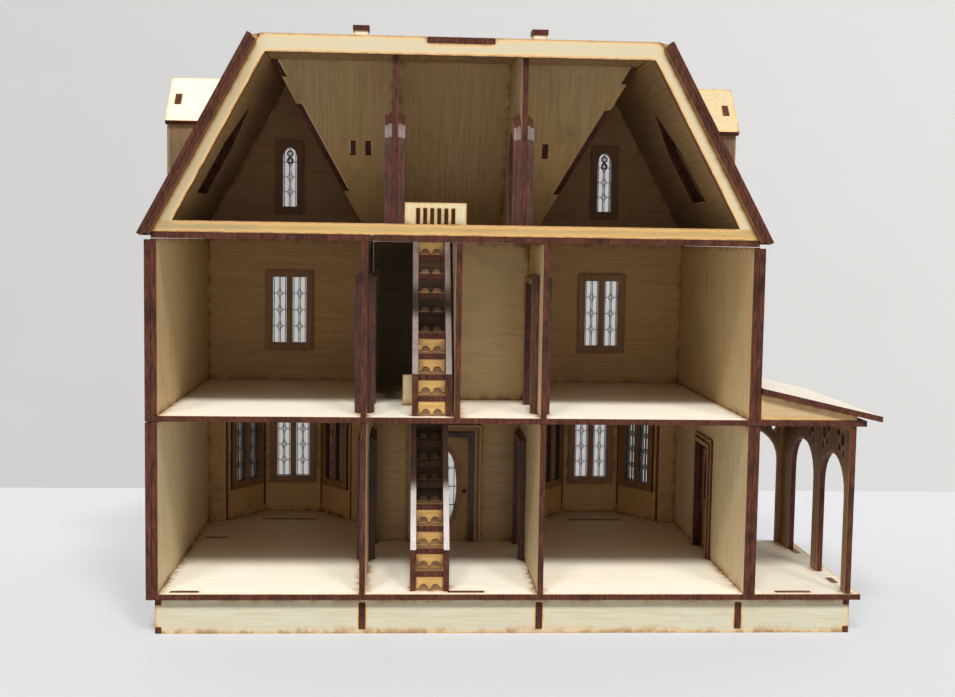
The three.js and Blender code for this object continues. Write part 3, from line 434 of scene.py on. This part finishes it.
FRAME = wood(
    "ply_frame", (0.44, 0.30, 0.115), (0.38, 0.24, 0.08), scorch=1.3, rim=6, cloud=0.3,
    tones=(
        ("Z", 243.6, 244.6, 0.8, (0.545, 0.495, 0.34)),
        # painted shade of the roof skins: the frame's left band is darker beyond x -110 mm
        ("X", -110.15, -125.15, 0.6, (0.27, 0.215, 0.12)),
    ),
)
RAIL = wood("ply_rail", (0.56, 0.50, 0.33), (0.50, 0.43, 0.26), "Z", scorch=1.2, rim=4)
STAIR = wood("ply_stair", (0.17, 0.09, 0.04), (0.12, 0.06, 0.026), scorch=0.7, rim=2, joint=0.0)
RISER = wood("ply_riser", (0.54, 0.35, 0.11), (0.40, 0.23, 0.06), rim=2, char=(0.1, 0.26), cloud=0.9)
# painted shade: near-black risers for the steps that lie in shade
RISER_SHADED = wood(
    "ply_riser_shaded", (0.055, 0.034, 0.016), (0.03, 0.018, 0.009), scorch=0.0, joint=0.0, gloss=0.1,
)
# painted shade: the dormers' walls are dark brown, as in the shadow of their roofs
DORMER = wood("ply_dormer", (0.11, 0.066, 0.03), (0.07, 0.04, 0.018), "Z", scorch=0.4, joint=0.35)
ARCADE = wood(
    "ply_arcade", (0.21, 0.115, 0.05), (0.145, 0.075, 0.032), "Z", rim=5.2, char=(0.06, 0.22),
    tones=(("Z", 88, 108, 0.7, (0.06, 0.03, 0.016)),),
)
DOOR = wood("ply_door", (0.42, 0.26, 0.12), (0.34, 0.195, 0.085), "Z")
TRIM = wood(
    "ply_trim", (0.33, 0.18, 0.08), (0.25, 0.13, 0.052), "Z", scorch=0.9, rim=3.2,
    char=(0.015, 0.09), joint=0.6,
)
CASING = wood(
    "ply_casing", (0.47, 0.29, 0.13), (0.38, 0.215, 0.09), "Z", scorch=1.15, rim=1.3,
    char=(0.03, 0.12), joint=0.8,
)
CLAPBOARD = wood(
    "ply_clapboard", (0.60, 0.47, 0.28), (0.53, 0.39, 0.21), "XY",
    relief=(Shader.clapboard, CLAPBOARD_PITCH, EVERYWHERE),
)
SHINGLE = wood(
    "ply_shingle", (0.50, 0.36, 0.19), (0.42, 0.28, 0.13), "YZ",
    relief=(Shader.shingle, SHINGLE_PITCH, EVERYWHERE),
)
GLASS = acetate("acetate")
LEAD = ink("printed_lead")

# The first prefix that a node's name starts with gives the material of its faces.
NODE_FACES = (
    ("foundation", PLINTH), ("floor", FLOOR), ("roof_back_frame", FRAME), ("porch_roof_ends", GABLE_END),
    ("porch_roof", PORCH_TOP), ("dormer_roof_right", PALE_WARM), ("dormer_roof", PALE),
    ("dormer", DORMER), ("chimney", PALE), ("railing", RAIL), ("roof_front_slope", MIDDLE),
    ("roof", ROOF), ("stair", STAIR), ("door_", DOOR), ("wing_front", FACADE), ("hall_front", HALL),
    ("bay", BAY), ("porch_arcade", ARCADE), ("partition", PARTY), ("bath_back", BATH),
    ("wall_left_lower", WALL_LOW), ("wall_right_lower", WALL_LOW), ("", WALL_UP),
)

# ---------- plates: which faces are cut edges ----------

WELD = 1e-5                    # metres between points that count as one
TINY_AREA = 1e-14              # square metres
SAME_PLANE = 0.9998            # cosine between the triangles of one flat patch
STRAIGHT_ON = 0.99999          # cosine between edges that carry straight on
NARROW = 4.3 * MM              # a patch with less area per length is a cut edge
NARROW_DOUBLE = 7.0 * MM       # the same on the dormers' thicker walls

# How far along its axis the normal of a special face points.
LEANING = (0.3, 0.9)
SIDEWAYS = 0.9
FORWARDS = 0.3
UPWARDS = 0.1


class Patch:
    """One flat stretch of a plate's surface: its normal, triangles and outline loops."""

    def __init__(self, normal, polygons):
        self.normal = normal
        self.polygons = polygons
        self.area = 0.0
        self.extent = 0.0
        self.loops = []


def sides(ring):
    """Each point of a ring with the next one."""
    return zip(ring, ring[1:] + ring[:1])


def straighten(loop):
    """Drops the points that a loop passes straight through."""
    kept = []
    for i, p in enumerate(loop):
        before = (p - loop[i - 1]).normalized()
        after = (loop[(i + 1) % len(loop)] - p).normalized()
        if before.dot(after) < STRAIGHT_ON:
            kept.append(p)
    return kept


def chain(edges, points):
    """Joins directed boundary edges into closed loops of points."""
    following = {}
    for a, b in edges:
        following.setdefault(a, []).append(b)
    loops = []
    while following:
        start = next(iter(following))
        loop = [start]
        key = start
        while key in following:
            successor = following[key].pop()
            if not following[key]:
                del following[key]
            if successor == start:
                break
            loop.append(successor)
            key = successor
        if len(loop) > 2:
            loops.append(straighten([points[k] for k in loop]))
    return loops


def measure(patch, mesh, rings, points):
    """Fills in a patch's area, extent and outline loops."""
    corners = []
    border = {}
    for index in patch.polygons:
        corners += rings[index]
        patch.area += mesh.polygons[index].area
        for a, b in sides(rings[index]):
            if (b, a) in border:
                del border[(b, a)]
            else:
                border[(a, b)] = True
    patch.extent = math.hypot(*(max(axis) - min(axis) for axis in zip(*(points[k] for k in corners))))
    patch.loops = chain(border, points)


def flat_patches(mesh):
    """Groups a mesh's triangles into connected flat patches."""
    keys = [tuple(round(c / WELD) for c in v.co) for v in mesh.vertices]
    points = {k: v.co.copy() for k, v in zip(keys, mesh.vertices)}
    rings = [[keys[i] for i in poly.vertices] for poly in mesh.polygons]
    owners = {}
    for index, ring in enumerate(rings):
        for a, b in sides(ring):
            owners.setdefault(frozenset((a, b)), []).append(index)
    neighbours = {}
    for pair in owners.values():
        for index in pair:
            neighbours.setdefault(index, set()).update(pair)
    taken = set()
    patches = []
    for poly in mesh.polygons:
        if poly.index in taken or poly.area < TINY_AREA:
            continue
        normal = poly.normal.copy()
        stack = [poly.index]
        taken.add(poly.index)
        members = []
        while stack:
            current = stack.pop()
            members.append(current)
            for other in neighbours.get(current, ()):
                if other not in taken and mesh.polygons[other].normal.dot(normal) > SAME_PLANE:
                    taken.add(other)
                    stack.append(other)
        patch = Patch(normal, members)
        measure(patch, mesh, rings, points)
        patches.append(patch)
    return patches


def special_face(node_name, normal):
    """The material of a patch that isn't a plain inside face, or None."""
    if node_name.startswith("stair"):
        return EDGE_HARD if LEANING[0] < normal.z < LEANING[1] else None
    if node_name.startswith("siding"):
        return CLAPBOARD if abs(normal.x) > SIDEWAYS else None
    if node_name.startswith(("wing_front", "hall_front", "bay_")):
        return CLAPBOARD if normal.y > FORWARDS else None
    if node_name.startswith(("roof_skin", "roof_valley", "roof_front_slope")):
        return SHINGLE if normal.z > UPWARDS else None
    if node_name == "partition_left_upper":
        return LANDING if normal.x > SIDEWAYS else None
    if node_name in ("partition_left_lower", "partition_right_lower", "partition_right_upper"):
        return PASSAGE if normal.x * (1 if "left" in node_name else -1) > SIDEWAYS else None
    return None


def dress(node_name, face):
    """Gives a CAD node its face materials and puts the burnt material on its cut edges."""
    obj = nodes[node_name]
    patches = flat_patches(obj.data)
    obj.data.materials.clear()
    obj.data.materials.append(face)
    obj.data.materials.append(EDGE)
    narrow = NARROW_DOUBLE if node_name.startswith("dormer_walls") else NARROW
    for patch in patches:
        index = 0
        special = special_face(node_name, patch.normal)
        if patch.area / patch.extent < narrow and special is not EDGE_HARD:
            index = 1
        elif special:
            if len(obj.data.materials) < 3:
                obj.data.materials.append(special)
            index = 2
        for polygon in patch.polygons:
            obj.data.polygons[polygon].material_index = index
    return patches


patches_of = {}
for node_name in sorted(nodes):
    face_material = next(m for prefix, m in NODE_FACES if node_name.startswith(prefix))
    patches_of[node_name] = dress(node_name, face_material)

# ---------- new pieces ----------

body_of = {}
for body_name, members in frame["record"]["behaviour"]["bodies"].items():
    for member in members:
        body_of[member] = body_name


def signed_area(loop):
    return sum(a[0] * b[1] - b[0] * a[1] for a, b in sides(loop)) / 2


def add_plate(bm, place, loops, thickness):
    """Adds a closed plate with holes; place maps plate millimetres to the frame's metres."""
    outer, *holes = loops
    if signed_area(outer) < 0:
        outer = outer[::-1]
    holes = [h[::-1] if signed_area(h) > 0 else h for h in holes]
    rings = [outer, *holes]
    flat = [p for ring in rings for p in ring]
    low = [bm.verts.new(place @ Vector((u, v, 0))) for u, v in flat]
    high = [bm.verts.new(place @ Vector((u, v, thickness))) for u, v in flat]
    for tri in tessellate_polygon([[Vector((u, v, 0)) for u, v in ring] for ring in rings]):
        a, b, c = (Vector(flat[i]).to_3d() for i in tri)
        order = tri if (b - a).cross(c - a).z > 0 else tri[::-1]
        bm.faces.new([high[i] for i in order]).material_index = 0
        bm.faces.new([low[i] for i in reversed(order)]).material_index = 0
    start = 0
    for ring in rings:
        count = len(ring)
        for i in range(count):
            a, b = start + i, start + (i + 1) % count
            bm.faces.new((low[a], low[b], high[b], high[a])).material_index = 1
        start += count


def plate_place(origin, across, up):
    """Maps plate millimetres (u, v, w) to the frame's metres, w along across x up."""
    u = Vector(across).normalized()
    v = Vector(up).normalized()
    turn = Matrix((u, v, u.cross(v))).transposed().to_4x4()
    return Matrix.Translation(Vector(origin)) @ turn @ Matrix.Scale(MM, 4)


def facing_back(y):
    """Place of a plate drawn in x and z that grows from y towards the open back."""
    return plate_place(at(0, y, 0), (1, 0, 0), (0, 0, 1))


def lying(z):
    """Place of a plate drawn in x and y that grows upwards from z."""
    return plate_place(at(0, 0, z), (1, 0, 0), (0, 1, 0))


def plates_piece(name, plates, node, materials):
    """One piece made of plates, each (place, loops, thickness), on the same body as a node."""
    bm = bmesh.new()
    for place, loops, thickness in plates:
        add_plate(bm, place, loops, thickness)
    mesh = bpy.data.meshes.new(name)
    bm.to_mesh(mesh)
    bm.free()
    for material in materials:
        mesh.materials.append(material)
    obj = bpy.data.objects.new(name, mesh)
    bpy.context.scene.collection.objects.link(obj)
    body = body_of[node]
    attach(obj, body)


def rect(u0, u1, v0, v1):
    return [(u0, v0), (u1, v0), (u1, v1), (u0, v1)]


ARCH_STEPS = 7


def arch_points(u0, u1, spring, apex):
    """Pointed arch from the right springing over the apex to the left springing."""
    half, rise = (u1 - u0) / 2, apex - spring
    radius = (half * half + rise * rise) / (2 * half)
    sweep = math.asin(min(1, rise / radius))
    angles = [sweep * i / ARCH_STEPS for i in range(ARCH_STEPS + 1)]
    right = [(u1 - radius + radius * math.cos(t), spring + radius * math.sin(t)) for t in angles]
    left = [(u0 + u1 - u, v) for u, v in reversed(right[:-1])]
    return right + left


# ---------- doorway casings ----------

OPENING_MARGIN = 0.6     # the record's opening boxes stop this far short of the doorways
CASING_WIDTH = 6.2
CASING_LAYER = 2.1
UPPER_INNER = 1.2        # how far the upper board stands back from the doorway
UPPER_OUTER = 1.6        # and from the lower board's outer edge
LINTEL_EXTRA = 0.4
CROWN_SPRING = 9         # an arched board's outer arch springs this far below the head
CROWN_RISE = 5.5
INSIDE_SPRING = 17       # and its inner arch this far below
INSIDE_DROP = 0.5
GROUND_BASE = 25.3
UPPER_BASE = 131.2
ATTIC_BASE = 237.7


def doorway(name):
    """The doorway's y range and head height, in plan millimetres."""
    box = next(o["box_m"] for o in frame["record"]["physics"]["openings"] if o["name"] == name)
    low, high = ((Vector(corner) - ZERO) / MM for corner in box)
    return low.y - OPENING_MARGIN, high.y + OPENING_MARGIN, high.z + OPENING_MARGIN


def casing_outline(y0, y1, base, head, inner, outer, arched):
    """U-shaped board round a doorway, from inner to outer millimetres beyond its edge."""
    if arched:
        crown = arch_points(y0 - outer, y1 + outer, head - CROWN_SPRING, head + CROWN_RISE + outer)
        inside = arch_points(y0 - inner, y1 + inner, head - INSIDE_SPRING, head - INSIDE_DROP + inner)[::-1]
    else:
        top = head + outer + LINTEL_EXTRA
        crown = [(y1 + outer, top), (y0 - outer, top)]
        inside = [(y0 - inner, head + inner), (y1 + inner, head + inner)]
    feet = [(y1 + inner, base), (y1 + outer, base)]
    return [(y0 - inner, base), *inside, *feet, *crown, (y0 - outer, base)]


def casing(name, node, doorway_name, base, arched=False):
    """Two stacked boards on each face of a partition."""
    y0, y1, head = doorway(doorway_name)
    low, high = plan_box(node)
    layers = (
        (0.0, CASING_WIDTH, FACE_GAP),
        (UPPER_INNER, CASING_WIDTH - UPPER_OUTER, CASING_LAYER + FACE_GAP),
    )
    plates = []
    for face_x, side in ((low[0], -1), (high[0], 1)):
        for inner, outer, lift in layers:
            outline = casing_outline(y0, y1, base, head, inner, outer, arched)
            loop = [(side * y, z) for y, z in outline]
            place = plate_place(at(face_x + side * lift, 0, 0), (0, side, 0), (0, 0, 1))
            plates.append((place, [loop], CASING_LAYER))
    plates_piece(name, plates, node, [TRIM, EDGE_DEEP])


for side in ("left", "right"):
    casing(f"casing_{side}_lower", f"partition_{side}_lower", f"ground_{side}_doorway", GROUND_BASE)
    casing(f"casing_{side}_upper", f"partition_{side}_upper", f"upper_{side}_doorway", UPPER_BASE)
    casing(f"casing_{side}_attic", f"partition_{side}_attic", f"attic_{side}_doorway", ATTIC_BASE, True)

# ---------- windows ----------

UPRIGHT = 0.01             # a window face's normal points up or down by less than this
SLOT_HEIGHT = 12           # holes up to this high are slots for tabs
SAME_LEVEL = 2             # panes whose middles are this level
MULLION = 8                # and which stand this close share one trim
PLAIN_POINTS = 6           # panes with more outline points have an arched head
OVAL_POINTS = 24           # and those with still more than this are ovals
PANE_DEPTH = 1.9
PANE_THICK = 0.3
LEAD_WIDTH = 0.5
LEAD_THICK = 0.12
PRINT_GAP = 0.02
TRIM_MARGIN = 5.2
OVAL_MARGIN = 3.4

# The printed pattern: shares of a pane's width, and of its height for where the diamonds sit.
UPRIGHT_LINES = (-0.055, 0.055, -0.4, 0.4)
DIAMOND_HALF = 0.21
DIAMOND_TALL = 0.3
DIAMOND_HEIGHTS = (0.25, 0.5, 0.75)
PANE_EDGE = 0.49
CIRCLE_RADIUS = 0.24
CIRCLE_DROPS = (1.9, 3.9)      # middles below the pane's top, in radii
CIRCLE_SIDES = 20


class Opening:
    """One hole through a vertical plate, seen on one of its faces."""

    def __init__(self, loop, across):
        self.points = [((p - ZERO).dot(across) / MM, (p - ZERO).dot(UP) / MM) for p in loop]
        self.u0 = min(p[0] for p in self.points)
        self.u1 = max(p[0] for p in self.points)
        self.v0 = min(p[1] for p in self.points)
        self.v1 = max(p[1] for p in self.points)
        self.cu = (self.u0 + self.u1) / 2
        self.cv = (self.v0 + self.v1) / 2
        self.width = self.u1 - self.u0
        self.height = self.v1 - self.v0

    def span(self, u):
        """Lowest and highest point of the hole on the vertical line at u."""
        cuts = []
        for (a, b), (c, d) in sides(self.points):
            if (a - u) * (c - u) < 0:
                cuts.append(b + (d - b) * (u - a) / (c - a))
        return (min(cuts), max(cuts)) if cuts else (self.cv, self.cv)

    def grown(self, margin):
        """The outline stretched about its middle until it stands out by the margin."""
        wide = 1 + 2 * margin / self.width
        tall = 1 + 2 * margin / self.height
        return [(self.cu + (u - self.cu) * wide, self.cv + (v - self.cv) * tall) for u, v in self.points]


def window_faces(node):
    """The node's vertical faces that have windows: (patch, across, plane distance, openings)."""
    found = []
    for patch in patches_of[node]:
        if abs(patch.normal.z) > UPRIGHT or len(patch.loops) < 2:
            continue
        across = UP.cross(patch.normal).normalized()
        sizes = [max((a - b).length for a in loop for b in loop) for loop in patch.loops]
        outer = sizes.index(max(sizes))
        holes = [Opening(loop, across) for i, loop in enumerate(patch.loops) if i != outer]
        holes = [hole for hole in holes if hole.height > SLOT_HEIGHT]
        if holes:
            plane = (patch.loops[outer][0] - ZERO).dot(patch.normal) / MM
            found.append((patch, across, plane, holes))
    return found


def groups_of(openings):
    """Holes that stand side by side share one trim."""
    groups = []
    for hole in sorted(openings, key=lambda h: h.cu):
        for group in groups:
            if abs(group[-1].cv - hole.cv) < SAME_LEVEL and hole.u0 - group[-1].u1 < MULLION:
                group.append(hole)
                break
        else:
            groups.append([hole])
    return groups


def face_place(patch, across, plane, lift):
    return plate_place(ZERO + patch.normal * (plane + lift) * MM, across, UP)


def strip(a, b, width):
    """A thin rectangle from point a to point b."""
    (au, av), (bu, bv) = a, b
    length = math.hypot(bu - au, bv - av)
    nu, nv = (av - bv) / length * width / 2, (bu - au) / length * width / 2
    return [(au - nu, av - nv), (bu - nu, bv - nv), (bu + nu, bv + nv), (au + nu, av + nv)]


def lead_lines(hole):
    """Printed leading of one pane: a double centre line, a border and three diamonds."""
    lines = []
    for share in UPRIGHT_LINES:
        u = hole.cu + share * hole.width
        low, high = hole.span(u)
        lines.append(((u, low), (u, high)))
    half, tall = DIAMOND_HALF * hole.width, DIAMOND_TALL * hole.width
    for share in DIAMOND_HEIGHTS:
        v = hole.v0 + share * hole.height
        diamond = [(hole.cu - half, v), (hole.cu, v + tall), (hole.cu + half, v), (hole.cu, v - tall)]
        lines += list(sides(diamond))
        for side in (-1, 1):
            lines.append(((hole.cu + side * half, v), (hole.cu + side * PANE_EDGE * hole.width, v)))
    return lines


def circle(cu, cv, radius, width):
    """A circular strip, as an outline and the hole in it."""
    angles = [2 * math.pi * i / CIRCLE_SIDES for i in range(CIRCLE_SIDES)]
    return [[(cu + r * math.cos(t), cv + r * math.sin(t)) for t in angles] for r in (radius, radius - width)]


def tracery(hole):
    """Stacked circles in the head of a lancet."""
    radius = hole.width * CIRCLE_RADIUS
    return [circle(hole.cu, hole.v1 - drop * radius, radius, 2 * LEAD_WIDTH) for drop in CIRCLE_DROPS]


def glaze(node, patch, across, plane, holes):
    """Acetate pane in each hole, with leading printed on both of its sides."""
    panes = []
    leads = []
    for hole in holes:
        panes.append((face_place(patch, across, plane, -PANE_DEPTH), [hole.points], PANE_THICK))
        pieces = [[strip(a, b, LEAD_WIDTH)] for a, b in lead_lines(hole)]
        if PLAIN_POINTS < len(hole.points) < OVAL_POINTS:
            pieces += tracery(hole)
        for lift in (PANE_THICK + PRINT_GAP, -PRINT_GAP - LEAD_THICK):
            place = face_place(patch, across, plane, lift - PANE_DEPTH)
            leads += [(place, loops, LEAD_THICK) for loops in pieces]
    plates_piece(f"glazing_{node}", panes, node, [GLASS, GLASS])
    plates_piece(f"leading_{node}", leads, node, [LEAD, LEAD])


def window_trim(patch, across, plane, group):
    """Rectangular board round a group of panes; an oval one round an oval light."""
    first, last = group[0], group[-1]
    if len(first.points) > OVAL_POINTS:
        outer = first.grown(OVAL_MARGIN)
    else:
        ends = (first.u0 - TRIM_MARGIN, last.u1 + TRIM_MARGIN)
        outer = rect(*ends, first.v0 - TRIM_MARGIN, first.v1 + TRIM_MARGIN)
    holes = [hole.points for hole in group]
    return face_place(patch, across, plane, FACE_GAP), [outer, *holes], OVERLAY


def dress_windows(node):
    """Glazes a node's windows from one face and puts trims on all its faces."""
    plates = []
    for index, (patch, across, plane, holes) in enumerate(window_faces(node)):
        plates += [window_trim(patch, across, plane, group) for group in groups_of(holes)]
        if index == 0:
            glaze(node, patch, across, plane, holes)
    if plates:
        plates_piece(f"trim_{node}", plates, node, [TRIM, EDGE_DEEP])


WINDOW_NODES = [
    "wing_front_left", "wing_front_right", "hall_front", "door_front", "door_porch",
    *[f"bay_{side}_{panel}" for side in ("left", "right") for panel in ("front", "outer", "inner")],
    "dormer_walls_left", "dormer_walls_right",
]
for node_name in WINDOW_NODES:
    dress_windows(node_name)

# ---------- stairs ----------

STAIR_X = (-23.0, -6.4)
STAIR_FRONT = 9.0
STEP_RUN = 9.0
STEP_COUNT = 9
TREAD_EDGE = 3.4
RISER_THICK = 0.5
RISER_END_GAP = 0.3
RISER_FOOT_GAP = 0.2
RISER_HEAD_GAP = 0.15
NOTCH_INSET = 4.4          # from the riser's end to the notch's middle
NOTCH_HALF = 2.6
NOTCH_FOOT = 0.9
NOTCH_RISE = 0.34          # a share of the riser's height
NOTCH_STEPS = 8
DROP_HALF = 1.1
DROP_TIP = 0.1

# Each flight's foot and head, and the steps whose risers are painted near black as shade.
FLIGHTS = {
    "lower": (25.2, 130.8, (4, 5, 6, 7, 8)),
    "upper": (131.1, 237.3, (4, 5, 6, 7)),
}


def notch(cu, foot, rise):
    """Arched notch, from its left foot to its right one."""
    angles = [math.pi * (1 - i / NOTCH_STEPS) for i in range(NOTCH_STEPS + 1)]
    return [(cu + NOTCH_HALF * math.cos(t), foot + rise * math.sin(t)) for t in angles]


def riser_outline(u0, u1, v0, v1):
    """Riser board with two arched notches in its foot and a small drop between them."""
    foot = v0 + NOTCH_FOOT
    rise = NOTCH_RISE * (v1 - v0)
    centre = (u0 + u1) / 2
    drop = [(centre - DROP_HALF, foot), (centre, v0 + DROP_TIP), (centre + DROP_HALF, foot)]
    notches = [notch(cu, foot, rise) for cu in (u0 + NOTCH_INSET, u1 - NOTCH_INSET)]
    return [(u0, v1), (u0, foot), *notches[0], *drop, *notches[1], (u1, foot), (u1, v1)]


def riser_plate(base, rise, step):
    low = base + step * rise + RISER_FOOT_GAP
    high = base + (step + 1) * rise - TREAD_EDGE - RISER_HEAD_GAP
    outline = riser_outline(STAIR_X[0] + RISER_END_GAP, STAIR_X[1] - RISER_END_GAP, low, high)
    return facing_back(STAIR_FRONT + step * STEP_RUN - FACE_GAP), [outline], RISER_THICK


for flight, (base, top, shaded_steps) in FLIGHTS.items():
    rise = (top - base) / STEP_COUNT
    lit_risers = [riser_plate(base, rise, step) for step in range(STEP_COUNT) if step not in shaded_steps]
    # painted shade: these risers are near black
    dark = [riser_plate(base, rise, step) for step in shaded_steps]
    plates_piece(f"risers_{flight}", lit_risers, f"stair_{flight}", [RISER, EDGE_DEEP])
    plates_piece(f"risers_{flight}_sooty", dark, f"stair_{flight}", [RISER_SHADED, EDGE_DEEP])

# ---------- ridges and tab ends ----------

# The left wing's ridge bars: ends in y, and section in x and z.
RIDGES = (
    ((3.8, 84.2), [(-117.28, 347.85), (-117.28, 351.4), (-119.9, 351.1), (-120.35, 349.5)]),
    ((84.2, 209.8), [(-117.3, 347.75), (-113.95, 349.5), (-117.3, 350.6), (-120.65, 349.5)]),
)
TAB_ENDS = rect(-169, -153, 146.4, 149.6)
TAB_ENDS_Z = 24.92
TAB_ENDS_THICK = 0.12


def bar(ends, section):
    """Straight bar between two places in y, with its section drawn in x and z."""
    low, high = ends
    return facing_back(high), [section], high - low


for side, mirror in (("left", 1), ("right", -1)):
    bars = [bar(ends, [(mirror * x, z) for x, z in section]) for ends, section in RIDGES]
    plates_piece(f"ridge_{side}", bars, f"roof_panel_{side}", [ROOF, EDGE])

tab_ends = (lying(TAB_ENDS_Z), [TAB_ENDS], TAB_ENDS_THICK)
plates_piece("floor_tab_ends", [tab_ends], "floor_ground", [EDGE, EDGE])

# ---------- door casings ----------

# A door's ends along its wall, its head, and its boards: distance from the door, width, thickness.
FRONT_DOOR = (-18.6, 15.0, 98.4, ((0.0, 3.4, 3.2), (3.6, 2.8, 1.4), (6.6, 2.2, 2.8)))
PORCH_DOOR = (-126.1, -91.9, 98.8, ((0.2, 3.2, 2.6), (3.6, 2.8, 1.4)))
HALL_INNER_Y = 141.0
WALL_FACE_X = 174.4


def u_frame(u0, u1, base, head, width):
    return [
        (u0, base), (u0, head), (u1, head), (u1, base), (u1 + width, base),
        (u1 + width, head + width), (u0 - width, head + width), (u0 - width, base),
    ]


def door_boards(place, door):
    """Nested U-shaped boards round a door."""
    u0, u1, head, boards = door
    plates = []
    for away, width, thick in boards:
        outline = u_frame(u0 - away, u1 + away, GROUND_BASE, head + away, width)
        plates.append((place, [outline], thick))
    return plates


front = door_boards(facing_back(HALL_INNER_Y - FACE_GAP), FRONT_DOOR)
plates_piece("casing_door_front", front[1:], "hall_front", [CASING, EDGE_DEEP])
plates_piece("casing_door_front_inner", front[:1], "hall_front", [EDGE_DEEP, EDGE_DEEP])

# Drawn in -y and z.
side_wall = plate_place(at(WALL_FACE_X - FACE_GAP, 0, 0), (0, -1, 0), (0, 0, 1))
porch = door_boards(side_wall, PORCH_DOOR)
plates_piece("casing_door_porch", porch, "wall_right_lower", [CASING, EDGE_DEEP])

# ---------- outside corners ----------

BAY_CENTRE_X = 115.4
BAY_CORNER = [(21.24, 240.71), (21.24, 244.36), (24.1, 242.68)]      # across from the bay's middle, and y
BAY_CORNER_Z = (25.4, 127.0)

# Each bar's ends in y, and its section in x and z.
EAVE = ((151.3, 202.2), rect(49.7, 53.15, 233.65, 237.25))
KNEELER = ((202.35, 205.65), [(49.65, 223.75), (56.6, 236.85), (56.6, 237.2), (49.65, 237.2)])


def bay_corner(middle, side):
    """Three-sided bar that fills the open mitre between two panels of a bay."""
    low, high = BAY_CORNER_Z
    points = [(middle + side * across, y) for across, y in BAY_CORNER]
    return lying(low), [points], high - low


for name, middle in (("left", -BAY_CENTRE_X), ("right", BAY_CENTRE_X)):
    corners = [bay_corner(middle, side) for side in (-1, 1)]
    plates_piece(f"bay_corners_{name}", corners, f"bay_{name}_front", [EDGE, EDGE])

plates_piece("eave_right", [bar(*EAVE)], "wing_front_right", [EDGE, EDGE])
plates_piece("kneeler_right", [bar(*KNEELER)], "wing_front_right", [CLAPBOARD, EDGE])

# ---------- stage and light ----------

TABLE_END_Y = 457
WALL_Y = 1500
WIDE = 9000
TABLE = (0.47, 0.477, 0.502)
# left and right ends of the painted light gradient, then the mottle
WALL_TONES = ((0.455, 0.457, 0.456), (0.555, 0.555, 0.552), (0.52, 0.52, 0.515))
SKY_BACK = (0.72, 0.72, 0.73)
SKY_FRONT = (0.52, 0.52, 0.53)
SKY_FADE = (-0.4, 0.4)
SUN_ELEVATION = math.radians(52)
SUN_SPREAD = math.radians(10)
SUN_COLOUR = (1.0, 0.985, 0.95)


def stage_plane(name, corners, material):
    mesh = bpy.data.meshes.new(name)
    mesh.from_pydata([at(*corner)[:] for corner in corners], [], [(0, 1, 2, 3)])
    mesh.materials.append(material)
    obj = bpy.data.objects.new(name, mesh)
    bpy.context.scene.collection.objects.link(obj)


table_corners = [(-WIDE, -WIDE, 0), (WIDE, -WIDE, 0), (WIDE, TABLE_END_Y, 0), (-WIDE, TABLE_END_Y, 0)]
wall_corners = [(-WIDE, WALL_Y, -WIDE), (WIDE, WALL_Y, -WIDE), (WIDE, WALL_Y, WIDE), (-WIDE, WALL_Y, WIDE)]
stage_plane("table", table_corners, tabletop("table_top", TABLE))
stage_plane("backdrop", wall_corners, painted_wall("wall_paint", *WALL_TONES))


def make_world():
    """Soft surround, brighter behind the house than in front of it."""
    world = bpy.data.worlds.new("studio")
    world.use_nodes = True
    tree = world.node_tree
    place = tree.nodes.new("ShaderNodeTexCoord")
    split = tree.nodes.new("ShaderNodeSeparateXYZ")
    fade = tree.nodes.new("ShaderNodeMapRange")
    mix = tree.nodes.new("ShaderNodeMix")
    mix.data_type = "RGBA"
    fade.inputs["From Min"].default_value, fade.inputs["From Max"].default_value = SKY_FADE
    front_tone, back_tone = [s for s in mix.inputs if s.type == "RGBA"]
    front_tone.default_value = (*SKY_FRONT, 1)
    back_tone.default_value = (*SKY_BACK, 1)
    tree.links.new(place.outputs["Generated"], split.inputs["Vector"])
    tree.links.new(split.outputs["Y"], fade.inputs["Value"])
    tree.links.new(fade.outputs["Result"], mix.inputs["Factor"])
    result = next(s for s in mix.outputs if s.type == "RGBA")
    tree.links.new(result, tree.nodes["Background"].inputs["Color"])
    bpy.context.scene.world = world


def make_sun(name, azimuth, energy):
    """A soft sun from the open side of the house, azimuth degrees to the right of it."""
    data = bpy.data.lights.new(name, "SUN")
    data.energy = energy
    data.angle = SUN_SPREAD
    data.color = SUN_COLOUR
    sun = bpy.data.objects.new(name, data)
    bpy.context.scene.collection.objects.link(sun)
    sun.rotation_euler = (math.pi / 2 - SUN_ELEVATION, 0, math.radians(azimuth))


make_world()
bpy.context.scene.view_settings.view_transform = "Standard"
make_sun("key", 0, 2.3)
make_sun("key_right", 24, 1.1)
make_sun("key_left", -24, 1.0)
